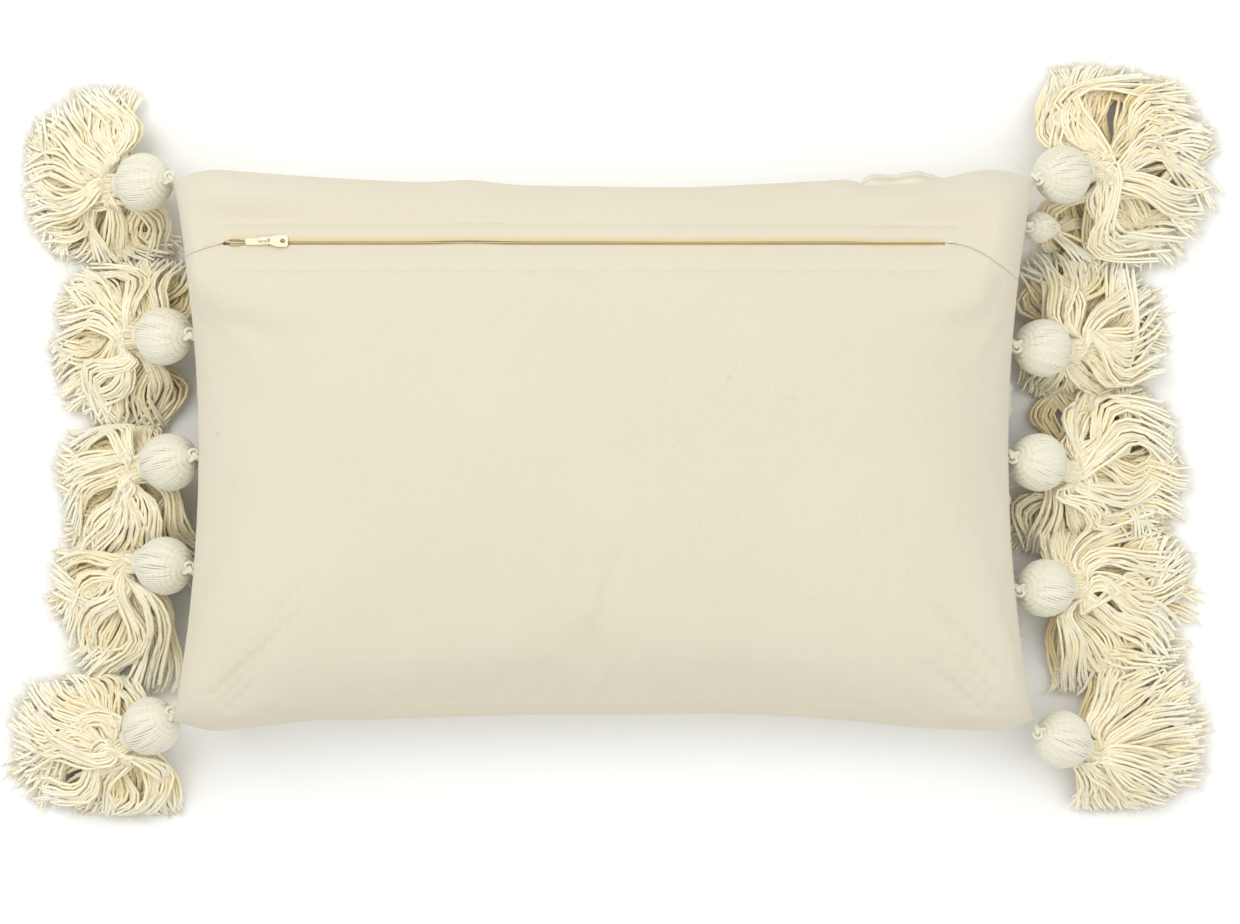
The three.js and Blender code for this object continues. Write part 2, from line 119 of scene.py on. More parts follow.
class Finish:
    """A material: its shader's own settings, and one method that adds any other node."""

    def __init__(self, name, **settings):
        self.material = bpy.data.materials.new(name)
        self.material.use_nodes = True
        self.tree = self.material.node_tree
        self.shader = self.tree.nodes["Principled BSDF"]
        for socket, value in settings.items():
            self.shader.inputs[socket.replace("_", " ")].default_value = value

    def node(self, kind, settings=None, values=(), output=0):
        made = self.tree.nodes.new(kind)
        for name, setting in (settings or {}).items():
            setattr(made, name, setting)
        for socket, value in values.items() if isinstance(values, dict) else enumerate(values):
            if isinstance(value, Value):
                self.tree.links.new(value.socket, made.inputs[socket])
            else:
                made.inputs[socket].default_value = value
        return Value(self, made.outputs[output])

    def mix(self, share, first, second):
        return self.node("ShaderNodeMix", {"data_type": "RGBA"}, {0: share, 6: first, 7: second}, 2)

    def noise(self, place, scale, detail=2.0):
        return self.node("ShaderNodeTexNoise", None, {"Vector": place, "Scale": scale, "Detail": detail})

    def object_place(self):
        return self.node("ShaderNodeTexCoord", None, (), 3)

    def attribute(self, name, output=2):
        return self.node("ShaderNodeAttribute", {"attribute_name": name}, (), output)

    def stretched(self, place, scale):
        return self.node("ShaderNodeMapping", None, {"Vector": place, "Scale": scale})

    def parts(self, vector):
        split = self.node("ShaderNodeSeparateXYZ", None, [vector])
        return [Value(self, socket) for socket in split.socket.node.outputs]

    def feed(self, socket, value):
        self.tree.links.new(value.socket, self.shader.inputs[socket])

    def relief(self, height, distance):
        self.feed("Normal", self.node("ShaderNodeBump", None, {"Distance": distance, "Height": height}))


def dye(red, green, blue):
    """A cloth colour given as it looks on a screen, from 0 to 255, in the shader's own scale."""
    shares = [c / 255 for c in (red, green, blue)]
    return (*(c / 12.92 if c <= 0.04045 else ((c + 0.055) / 1.055) ** 2.4 for c in shares), 1)


def dress(piece, finish):
    piece.data.materials.clear()
    piece.data.materials.append(finish.material)


def soften(mesh, crease=None):
    """Shades a mesh smoothly, but not across edges that turn more than the crease, in degrees."""
    mesh.polygons.foreach_set("use_smooth", np.ones(len(mesh.polygons), bool))
    if crease is not None:
        mesh.set_sharp_from_angle(angle=math.radians(crease))


def shown(name, mesh):
    """An object for a mesh, in the scene."""
    piece = bpy.data.objects.new(name, mesh)
    bpy.context.scene.collection.objects.link(piece)
    return piece


def new_piece(name, points, faces):
    mesh = bpy.data.meshes.new(name)
    mesh.from_pydata(np.asarray(points, float).reshape(-1, 3).tolist(), [], [list(f) for f in faces])
    mesh.update()
    return shown(name, mesh)


table_half, table_level = 4.0, -0.0004
table_corners = [(-1, -1), (1, -1), (1, 1), (-1, 1)]
table_top = new_piece(
    "table_top", [(x * table_half, y * table_half, table_level) for x, y in table_corners], [(0, 1, 2, 3)])
table_finish = Finish("white_table", Roughness=0.8)
table_finish.feed("Base Color", table_finish.mix(
    table_finish.noise(table_finish.object_place(), 6.0), (0.93, 0.93, 0.92, 1), (0.96, 0.96, 0.95, 1)))
dress(table_top, table_finish)

# ---- Cover ---------------------------------------------------------------------------------------
# Two faces of cotton, sewn together all round and filled out by an insert. The back is a plain fine
# weave in two panels, with a zip between them. The front is a thick weave with rows of knots.
# The cloth is a little larger than the shape that it is pulled over, so it puckers near the seams.
cover_length, cover_height = 0.610, 0.406
corner_pull, side_pull, edge_pull = 0.005, 0.0185, 0.0145
thickness = 0.140
rest_squash = 0.17  # how far the table presses the underside flat, as a share of the seam's height
seam_gap = 0.0002
back_cloth, front_cloth = 0.0006, 0.0012

# How fast the filled shape falls away lengthways and across, and how that changes over the cover.
fall_along, fall_along_gain, end_fall = 4, 8, 0.42
fall_across, fall_across_gain, side_fall = 2.2, 4, 0.5

# The zip draws the cloth into a flat band, which fades into the filled shape.
zip_from_top, zip_from_corner, zip_opening, zip_draw = 0.042, 0.042, 0.494, 0.004
band_half, band_fade_up, band_fade_down = 0.016, 0.022, 0.050
band_fade_end, band_past_end, band_rim = 0.018, 0.018, 60


def smooth_step(x, low, high):
    t = np.clip((np.asarray(x, float) - low) / (high - low), 0, 1)
    return t * t * (3 - 2 * t)


def between(x, from_low, from_high, to_low, to_high):
    """1 inside a stretch and 0 outside it, with a smooth step at each end."""
    return smooth_step(x, from_low, from_high) * (1 - smooth_step(x, to_low, to_high))


def half_length(v):
    return cover_length / 2 - corner_pull - side_pull * (1 - v * v)


def half_height(u):
    return cover_height / 2 - corner_pull - edge_pull * (1 - u * u)


def crown_share(u, v):
    along = fall_along + fall_along_gain * v * v
    across = fall_across + fall_across_gain * u**4
    lengthways = np.clip(1 - np.abs(u) ** along, 0, 1) ** end_fall
    return lengthways * np.clip(1 - np.abs(v) ** across, 0, 1) ** side_fall


back_rise = thickness - seam_height
zip_y = half_height(0) - zip_from_top
zip_left = -cover_length / 2 + corner_pull + zip_from_corner
zip_right = zip_left + zip_opening
zip_level = seam_height + back_rise * float(crown_share(0, zip_y / half_height(0))) - zip_draw
crown_step = 0.001
zip_tilt = math.atan2(
    back_rise * float(crown_share(0, (zip_y - crown_step) / half_height(0))
                      - crown_share(0, (zip_y + crown_step) / half_height(0))),
    2 * crown_step,
)
band_up = np.array([0, math.cos(zip_tilt), -math.sin(zip_tilt)])
band_out = np.array([0, math.sin(zip_tilt), math.cos(zip_tilt)])


def band_share(u, v, y):
    x = u * half_length(v)
    up = (y - zip_y) / math.cos(zip_tilt)
    beyond = np.maximum(np.maximum(zip_left - x, x - zip_right), 0)
    fade = lambda d, flat, width: 1 - smooth_step(d, flat, flat + width)
    across = np.where(up > 0, fade(up, band_half, band_fade_up), fade(-up, band_half, band_fade_down))
    ends = fade(beyond, band_past_end, band_fade_end)
    return across * ends * (1 - np.abs(u) ** band_rim) * (1 - np.abs(v) ** band_rim)


# The seams wander a little, and the front rolls over the top seam near the right corner.
# Each bump: which edge (1 is the top), where along it, how far it goes out, and its width.
seam_bumps = [(1, -0.093, 0.0028, 0.022), (1, 0.06, -0.0012, 0.05), (-1, -0.20, -0.002, 0.03),
              (-1, 0.10, -0.0018, 0.05), (-1, 0.22, 0.0016, 0.03)]
roll_from, roll_full, roll_fade, roll_to, roll_width = 0.166, 0.022, 0.045, 0.264, 0.0058
roll_ripple, roll_ripple_rate = 0.06, 210
# The back gives way by the roll's width near its seam. The front swells out over it and turns in.
roll_reach, roll_lift, roll_out, roll_up, swell_from, turn_from = 8, 0.8, 2.1, 2.2, 0.925, 0.955
# The filling doesn't reach into the corners, which turn round.
corner_round, corner_from, corner_to = 0.010, 0.262, 0.304


def seam_wander(x, v):
    shift = 0
    for edge, place, size, width in seam_bumps:
        near = np.where(edge * v > 0, np.abs(v) ** 6, 0)
        shift = shift + edge * size * near * np.exp(-(((x - place) / width) ** 2))
    corner = smooth_step(np.abs(x), corner_from, corner_to) ** 1.4
    return shift - np.sign(v) * corner_round * corner * np.abs(v) ** 10


def seam_roll(x):
    share = between(x, roll_from, roll_from + roll_full, roll_to - roll_fade, roll_to)
    return roll_width * share * (1 + roll_ripple * np.sin(x * roll_ripple_rate))


def cover_shape(u, v, side, inset=0.0):
    """A place on the filled-out cover, before the cloth's own puckers: side 1 is the back."""
    u, v = np.broadcast_arrays(np.asarray(u, float), np.asarray(v, float))
    x = u * (half_length(v) - inset)
    y = v * (half_height(u) - inset)
    crown = crown_share(u, v)
    roll = seam_roll(x) * np.where(v > 0, 1, 0)
    turned = smooth_step(v, turn_from, 1)
    if side > 0:
        z = seam_height + seam_gap + (back_rise - seam_gap - inset) * crown
        band = zip_level - inset / math.cos(zip_tilt) - (y - zip_y) * math.tan(zip_tilt)
        z = z + (band - z) * band_share(u, v, y)
        y = y - roll * np.abs(v) ** roll_reach
        z = z + roll * roll_lift * (1 - crown) * np.abs(v) ** roll_reach
    else:
        depth = (seam_height * (1 + rest_squash) - inset) * crown
        z = np.maximum(inset, seam_height - seam_gap - depth)
        bulge = np.sin(np.pi * smooth_step(v, swell_from, 1))
        y = y + roll * (roll_out * bulge - turned)
        z = z + roll * (roll_up * bulge + roll_lift * turned)
    y = y + seam_wander(x, v)
    return np.stack([x, y, z], -1)


# The cloth is simulated at this pitch, held at its seams and along the zip, and its puckers are kept.
settle_pitch, settle_frames, settle_cap = 0.006, 20, 0.007
settle_cells = (round(cover_length / settle_pitch), round(cover_height / settle_pitch))
held_share, held_level, held_rim = 0.35, 0.0005, 0.999  # the band, the part on the table, the seams
swell_reach, swell_share = 7, 0.9  # how many cells the slow swell spans, and how much of it is taken out


def grid_faces(columns, rows, first=0, flip=False):
    index = first + np.arange(columns * rows).reshape(columns, rows)
    corners = [index[:-1, :-1], index[1:, :-1], index[1:, 1:], index[:-1, 1:]]
    return np.stack(corners[::-1] if flip else corners, -1).reshape(-1, 4)


def blurred(values, reach):
    """A grid of values, each replaced by the mean of those within reach of it."""
    kernel = np.ones(2 * reach + 1) / (2 * reach + 1)
    for axis in (0, 1):
        pad = [(0, 0)] * values.ndim
        pad[axis] = (reach, reach)
        values = np.apply_along_axis(
            lambda line: np.convolve(line, kernel, "valid"), axis, np.pad(values, pad, mode="edge"))
    return values


def settled(side):
    """How far the cloth's points move when it is blown out against its seams."""
    across, down = settle_cells
    u, v = np.meshgrid(np.linspace(-1, 1, across + 1), np.linspace(-1, 1, down + 1), indexing="ij")
    start = cover_shape(u, v, side)
    sheet = new_piece("settling_cloth", start, grid_faces(across + 1, down + 1, flip=side < 0))
    band = band_share(u, v, start[..., 1])
    held = band > held_share if side > 0 else start[..., 2] < held_level
    held |= (np.abs(u) > held_rim) | (np.abs(v) > held_rim)
    index = np.arange(u.size).reshape(u.shape)
    sheet.vertex_groups.new(name="held").add(index[held].ravel().tolist(), 1.0, "REPLACE")
    spare = sheet.vertex_groups.new(name="spare")
    looseness = np.clip(np.abs(u) ** 5 * (0.45 + 0.55 * np.abs(v) ** 3) + 0.35 * np.abs(v) ** 6, 0, 1)
    for point, weight in enumerate(looseness.ravel()):
        spare.add([point], float(weight), "REPLACE")
    cloth = sheet.modifiers.new("cloth", "CLOTH")
    rules = cloth.settings
    rules.quality = 4
    rules.mass = 0.2
    rules.vertex_group_mass = "held"
    rules.vertex_group_shrink = "spare"
    rules.shrink_min, rules.shrink_max = -0.004, -0.034
    rules.tension_stiffness = rules.compression_stiffness = 30
    rules.shear_stiffness = 8
    rules.bending_stiffness = 0.25
    rules.tension_damping = rules.compression_damping = 20
    rules.use_pressure = True
    rules.uniform_pressure_force = 4
    rules.effector_weights.gravity = 0
    cloth.collision_settings.use_collision = False
    cloth.point_cache.frame_start, cloth.point_cache.frame_end = 1, settle_frames
    for number in range(1, settle_frames + 1):
        bpy.context.scene.frame_set(number)
    shaped = sheet.evaluated_get(bpy.context.evaluated_depsgraph_get())
    places = np.zeros(u.size * 3, np.float32)
    shaped.data.vertices.foreach_get("co", places)
    moved = places.reshape(*u.shape, 3) - start
    bpy.context.scene.frame_set(1)
    bpy.data.objects.remove(sheet)
    pucker = moved - swell_share * blurred(moved, swell_reach)
    ends = (1 - np.abs(u) ** 40) * (1 - np.abs(v) ** 30)
    if side > 0:
        ends = ends * (1 - band)
    pucker *= ends[..., None]
    size = np.linalg.norm(pucker, axis=-1, keepdims=True) + 1e-9
    return pucker * settle_cap * np.tanh(size / settle_cap) / size


puckers = {side: settled(side) for side in (1, -1)}


def pucker_at(u, v, side):
    field = puckers[side]
    at = [(np.clip(p, -1, 1) + 1) / 2 * (n - 1) for p, n in zip((u, v), field.shape)]
    low = [np.minimum(np.floor(p).astype(int), n - 2) for p, n in zip(at, field.shape)]
    share = [smooth_step(p - q, 0, 1)[..., None] for p, q in zip(at, low)]
    corner = lambda a, b: field[low[0] + a, low[1] + b]
    near = corner(0, 0) * (1 - share[0]) + corner(1, 0) * share[0]
    far = corner(0, 1) * (1 - share[0]) + corner(1, 1) * share[0]
    return near * (1 - share[1]) + far * share[1]


def cover_place(u, v, side):
    u, v = np.broadcast_arrays(np.asarray(u, float), np.asarray(v, float))
    return cover_shape(u, v, side) + pucker_at(u, v, side)


# Along the slit each panel is folded under and sewn down. Past the slit's ends the two folds are
# closed in a seam, which dips towards the sides.
slit_half, closed_half = 0.001, 0.00012
wedge_centre, wedge_reach, wedge_open = -0.2515, 0.0085, 0.0017  # the slit parts behind the slider
stitch_up, stitch_down = 0.0139, 0.0205  # from the fold to the row of stitches
fold_radius = 0.0007
seam_depth, seam_width = 0.0011, 0.0016  # the groove past the slit's ends
hem_from, hem_swell = 0.003, {1: 0.0009, -1: 0.0005}  # the cloth between fold and stitches is doubled
fold_tuck, tuck_reach = 0.0006, 0.008  # the lower fold lies under the upper one
groove_depth, groove_width = 0.00055, 0.0011  # where the stitches pull the cloth in
panel_rim, zip_fade = 40, 0.008


def seam_dip(x):
    left = smooth_step(-x, -zip_left - 0.004, 0.300) * 0.0105
    right = smooth_step(x, zip_right + 0.002, 0.302) * 0.027
    return -left - right


def wedge_gap(x):
    return wedge_open * np.clip(1 - ((x - wedge_centre) / wedge_reach) ** 2, 0, 1)


def slit_gap(x):
    inside = between(x, zip_left - 0.002, zip_left + 0.002, zip_right - 0.004, zip_right)
    return closed_half + (slit_half - closed_half) * inside + wedge_gap(x)


def back_panel_places(u, side, offsets, seam_rows):
    """A back panel's outer face: rows along the fold, then rows out to its seam."""
    x = u * half_length(zip_y / half_height(u))
    fold_y = zip_y + seam_dip(x) + side * slit_gap(x) * math.cos(zip_tilt)
    fold_v = lambda d: (fold_y + side * d * math.cos(zip_tilt)) / half_height(u)
    band_v = fold_v(offsets[-1])
    ordered = [(fold_v(d), np.full_like(u, d)) for d in offsets]
    ordered += [(band_v + (side - band_v) * share, None) for share in seam_rows[1:]]
    ordered = ordered[::side]
    zipped = between(x, zip_left - zip_fade, zip_left, zip_right, zip_right + zip_fade)
    stitch = stitch_up if side > 0 else stitch_down
    edge = np.clip(1 - np.abs(u) ** panel_rim, 0, 1)
    columns = []
    for v, d in ordered:
        place = cover_place(u, v, 1)
        if d is None:
            d = np.abs(v * half_height(u) - fold_y) / math.cos(zip_tilt)
        into_fold = fold_radius - np.minimum(d, fold_radius)
        rise = -(fold_radius - np.sqrt(np.clip(fold_radius**2 - into_fold**2, 0, 1)))
        rise = rise - seam_depth * (1 - zipped) * np.exp(-((d / seam_width) ** 2))
        padding = np.sin(np.pi * np.clip((d - hem_from) / (stitch - hem_from), 0, 1)) ** 2
        rise = rise + zipped * hem_swell[side] * padding
        if side < 0:
            rise = rise - zipped * fold_tuck * (1 - smooth_step(d, 0, tuck_reach))
        from_stitch = d + wedge_gap(x) - stitch
        rise = rise - groove_depth * zipped * np.exp(-((from_stitch / groove_width) ** 2))
        columns.append(place + (rise * edge)[:, None] * band_out)
    return np.stack(columns, 1), np.stack([v for v, _ in ordered], 1)


def outward(places):
    """The unit normals of a sheet of points, out of its upper face."""
    along = np.gradient(places, axis=0)
    across = np.gradient(places, axis=1)
    normal = np.cross(along, across)
    return normal / (np.linalg.norm(normal, axis=-1, keepdims=True) + 1e-12)


def rim_wall(columns, rows):
    """The faces that join the rims of two grids of points, of which the second follows the first."""
    count = columns * rows
    index = np.arange(count).reshape(columns, rows)
    ring = np.concatenate([index[:-1, 0], index[-1, :-1], index[:0:-1, -1], index[0, :0:-1]])
    after = np.roll(ring, -1)
    return np.stack([ring, ring + count, after + count, after], -1)


def closed_cloth(name, outer, cloth, flat, side):
    """A piece of cloth with a real thickness, and its own flat coordinates as its UV map."""
    columns, rows = outer.shape[:2]
    inner = outer - outward(outer) * side * cloth
    wall = rim_wall(columns, rows)
    faces = [grid_faces(columns, rows, flip=side < 0),
             grid_faces(columns, rows, columns * rows, flip=side > 0),
             wall if side > 0 else wall[:, ::-1]]
    points = np.concatenate([outer.reshape(-1, 3), inner.reshape(-1, 3)])
    piece = new_piece(name, points, np.concatenate(faces))
    mesh = piece.data
    cloth_map = mesh.uv_layers.new(name="cloth")
    loops = np.zeros(len(mesh.loops), np.int32)
    mesh.loops.foreach_get("vertex_index", loops)
    both = np.concatenate([flat.reshape(-1, 2)] * 2)
    cloth_map.data.foreach_set("uv", both[loops].astype(np.float32).ravel())
    soften(mesh, 62)
    return piece


def flat_places(u, v):
    u, v = np.broadcast_arrays(u, v)
    return np.stack([u * cover_length / 2, v * cover_height / 2], -1)


def plain_weave(name, colour, shade, thread, **settings):
    """A fine plain-woven cotton: slubby threads both ways, and a fleck of seed husk here and there."""
    finish = Finish(name, **settings)
    place = finish.node("ShaderNodeUVMap", {"uv_map": "cloth"})
    across, down, _ = finish.parts(place)
    warp = finish.noise(finish.stretched(place, (900, 26, 1)), 1.0, 3.0)
    weft = finish.noise(finish.stretched(place, (26, 900, 1)), 1.0, 3.0)
    cloudy = finish.noise(place, 9.0, 3.0)
    tone = finish.mix(cloudy * 0.5 + warp * 0.25 + weft * 0.25, shade, colour)
    fleck = finish.node("ShaderNodeTexVoronoi", {"feature": "F1"}, {"Vector": place, "Scale": 21.0})
    fleck_id, _, _ = finish.parts(Value(finish, fleck.socket.node.outputs["Color"]))
    spot = fleck.below(0.034) * fleck_id.above(0.84) * 0.5
    # Painted warm reflection along the slit: where the fold attribute is high, the cloth turns a warm
    # peach-brown, as if lit by light bounced inside the fold.
    tone = finish.mix(finish.attribute("fold"), tone, dye(224, 204, 158))
    fluff = finish.noise(place, 2600.0, 2.0)
    finish.feed("Base Color", finish.mix(spot * fluff, tone, dye(172, 148, 100)))
    finish.feed("Roughness", 0.86 + fluff * 0.1)
    turns = 2 * math.pi / thread
    knit = (across * turns).sine() * (down * turns).sine()
    finish.relief(knit * 0.5 + warp * 0.6 + weft * 0.6, 0.00022)
    return finish


weave_pitch = 0.0011
back_finish = plain_weave(
    "plain_cotton_weave", dye(229, 223, 203), dye(219, 211, 187), weave_pitch,
    Sheen_Weight=0.12, Sheen_Roughness=0.5)

# Columns and rows lie closer together near the seams, the fold and the stitches.
column_ease = lambda t: 0.62 * t + 0.38 * np.sin(np.pi * t / 2)
back_columns = column_ease(np.linspace(-1, 1, 221))
fold_offsets = np.concatenate([
    [0, 0.00012, 0.0003, 0.0005, 0.0007, 0.0012, 0.0020, 0.0032, 0.0047, 0.0063, 0.0080, 0.0097],
    np.arange(0.0113, 0.0161, 0.0007),
    [0.0175, 0.0187], np.arange(0.0194, 0.0220, 0.0007), [0.0232, 0.0250],
])
seam_shares = {-1: np.sin(np.linspace(0, np.pi / 2, 96)), 1: np.sin(np.linspace(0, np.pi / 2, 9))}
fold_of = {-1: fold_offsets, 1: fold_offsets[:21]}
# Along the open slit the folds get a painted warm reflection. It is strongest at the fold and fades within
# these widths and towards the slit's ends.
tint_width, tint_fade = {-1: 0.0012, 1: 0.0024}, 0.01  # the folds look warmer along the slit
for side, label in [(-1, "lower"), (1, "upper")]:
    places, rows_v = back_panel_places(back_columns, side, fold_of[side], seam_shares[side])
    flat = flat_places(back_columns[:, None], rows_v)
    panel = closed_cloth(f"cover_back_{label}", places, back_cloth, flat, 1)
    column_x = back_columns * half_length(zip_y / half_height(back_columns))
    fold_line = zip_y + seam_dip(column_x) + side * slit_gap(column_x) * math.cos(zip_tilt)
    from_fold = np.abs(rows_v * half_height(back_columns)[:, None] - fold_line[:, None])
    open_part = between(column_x, zip_left, zip_left + tint_fade, zip_right - tint_fade, zip_right)
    painted_fold_glow = open_part[:, None] * np.exp(-((from_fold / tint_width[side]) ** 2))
    painted_glow_layer = panel.data.attributes.new("fold", "FLOAT", "POINT")
    painted_glow_layer.data.foreach_set("value", np.tile(painted_fold_glow.ravel(), 2).astype(np.float32))
    dress(panel, back_finish)
    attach(panel, "cover")
    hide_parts(f"back_panel_{label}")

# The front is woven in thick soft yarn, in rows of raised knots, and stands out along the side seams.
front_columns = column_ease(np.linspace(-1, 1, 251))
front_rows = column_ease(np.linspace(-1, 1, 171))
knot_pitch, row_pitch, knot_height, flank_lift = 0.0098, 0.0082, 0.0016, 0.0008
# Each bulge: which side (1 is the right), where along it, how far it stands out, and its width.
side_bulges = [(1, 0.034, 0.0095, 0.026), (1, -0.034, 0.0085, 0.010), (1, -0.134, 0.0085, 0.012),
               (-1, -0.055, 0.0070, 0.014), (-1, 0.04, 0.0040, 0.02)]


def knot_relief(flat):
    """How high the front's weave stands, from 0 between its knots to 1 on top of one."""
    row = np.floor(flat[..., 1] / row_pitch)
    column = flat[..., 0] / knot_pitch + 0.5 * (row % 2)
    cell = np.floor(column)
    size = 0.72 + 0.28 * np.sin(cell * 12.9898 + row * 78.233)
    in_cell = 2 * np.pi * (column - cell - 0.5)
    in_row = 2 * np.pi * (flat[..., 1] / row_pitch - row - 0.5)
    return size * (0.5 + 0.5 * np.cos(in_cell)) ** 0.8 * (0.5 + 0.5 * np.cos(in_row)) ** 0.6


front_u, front_v = np.meshgrid(front_columns, front_rows, indexing="ij")
front_places = cover_place(front_u, front_v, -1)
front_flat = flat_places(front_u, front_v)
front_out = -outward(front_places)
front_out[..., 2] = np.minimum(front_out[..., 2], 0)
front_relief = knot_relief(front_flat)
flank = np.maximum(smooth_step(np.abs(front_u), 0.93, 0.985), smooth_step(front_v, 0.93, 0.985))
flank = flank * (1 - np.abs(front_u) ** 90) * (1 - np.abs(front_v) ** 90)
front_lift = knot_height * (front_relief - 1) + flank_lift * front_relief * flank
for end, place, height, width in side_bulges:
    near = between(end * front_u, 0.95, 0.99, 0.992, 1)
    front_lift += height * near * np.exp(-(((front_places[..., 1] - place) / width) ** 2))
front_places += front_lift[..., None] * front_out
front_places[..., 2] = np.maximum(front_places[..., 2], 0)
cover_front = closed_cloth("cover_front", front_places, front_cloth, front_flat, -1)

front_finish = Finish("thick_knotted_weave", Sheen_Weight=0.15, Sheen_Roughness=0.6)
front_map = front_finish.node("ShaderNodeUVMap", {"uv_map": "cloth"})
front_x, front_y, _ = front_finish.parts(front_map)
front_fluff = front_finish.noise(front_map, 900.0, 3.0)
front_finish.feed("Base Color", front_finish.mix(
    front_finish.noise(front_map, 120.0, 3.0), dye(246, 243, 230), dye(232, 225, 203)))
front_finish.feed("Roughness", 0.88 + front_fluff * 0.1)
twist_pitch, ply_pitch = 0.0021, 0.0034
front_twist = ((front_x + front_y) * (2 * math.pi / twist_pitch)).sine() * (
    (front_x - front_y) * (2 * math.pi / ply_pitch)).sine()
front_finish.relief(front_twist * 0.6 + front_fluff, 0.0005)
dress(cover_front, front_finish)
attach(cover_front, "cover")
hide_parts("front_panel")

# ---- Insert --------------------------------------------------------------------------------------
# A closed case of thin white cloth, stuffed with fibre, fills the cover. It is sewn shut all round and
# lies free inside, with a hollow under the zip.
insert_inset, insert_hollow, insert_cells = 0.0046, 0.0085, (90, 62)
insert_dent, insert_seam_gap = 0.0006, 0.0002
insert_u, insert_v = np.meshgrid(*(np.linspace(-1, 1, count) for count in insert_cells), indexing="ij")


def insert_places(side):
    places = cover_shape(insert_u, insert_v, side, insert_inset)
    if side > 0:
        share = band_share(insert_u, insert_v, places[..., 1])
        places = places - (share * (insert_hollow - insert_inset))[..., None] * band_out
    lumps = np.sin(insert_u * 31 + insert_v * 7) * np.sin(insert_v * 23)
    lumps = lumps * (1 - insert_u**6) * (1 - insert_v**6)
    places[..., 2] -= side * insert_dent * (1 + lumps)
    places[..., 2] += side * insert_seam_gap
    return places


insert = new_piece(
    "pillow_insert",
    np.concatenate([insert_places(side).reshape(-1, 3) for side in (1, -1)]),
    np.concatenate([grid_faces(*insert_cells), grid_faces(*insert_cells, insert_u.size, flip=True),
                    rim_wall(*insert_cells)]),
)
soften(insert.data)
insert_finish = Finish("insert_case_cloth", Roughness=0.9)
insert_place = insert_finish.object_place()
insert_finish.feed("Base Color", insert_finish.mix(
    insert_finish.noise(insert_place, 60.0), dye(240, 234, 214), dye(226, 217, 190)))
insert_finish.relief(insert_finish.noise(insert_place, 1800.0), 0.0002)
dress(insert, insert_finish)
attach(insert, "cover")
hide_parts("insert_case_back", "insert_case_front", "insert_filling")

# ---- Zip -----------------------------------------------------------------------------------------
# Two woven tapes, each with a coil of nylon wire sewn along its edge. The coils mesh under the slit,
# and end in a stop at each end. The panels are sewn to the tapes by a row of stitches each.
zip_origin = np.array([0, zip_y, zip_level])
along_zip = np.array([1.0, 0, 0])
coil_middle, coil_high, coil_wire, coil_turn = -0.0022, 0.00070, 0.00026, 0.0013
coil_near, coil_far, coil_short, coil_square = 0.00046, 0.0033, 0.0030, 0.6
filler_up, filler_radius = 0.00082, 0.00050


def on_band(x, up, out):
    """Places given along the zip, up its band and out of its cloth."""
    x, up, out = np.broadcast_arrays(x, up, out)
    return zip_origin + x[..., None] * along_zip + up[..., None] * band_up + out[..., None] * band_out


def yarn_guides(name, lines, girths, shades):
    """Lines of points for yarn to follow, with the yarn's radius and a shade at each point."""
    lines = [np.asarray(line, float) for line in lines]
    edges, first = [], 0
    for line in lines:
        edges += [(first + k, first + k + 1) for k in range(len(line) - 1)]
        first += len(line)
    mesh = bpy.data.meshes.new(name)
    mesh.from_pydata(np.concatenate(lines).tolist(), edges, [])
    for label, values in (("girth", girths), ("shade", shades)):
        layer = mesh.attributes.new(label, "FLOAT", "POINT")
        spread = [np.broadcast_to(value, len(line)) for value, line in zip(values, lines)]
        layer.data.foreach_set("value", np.concatenate(spread).astype(np.float32))
    return shown(name, mesh)


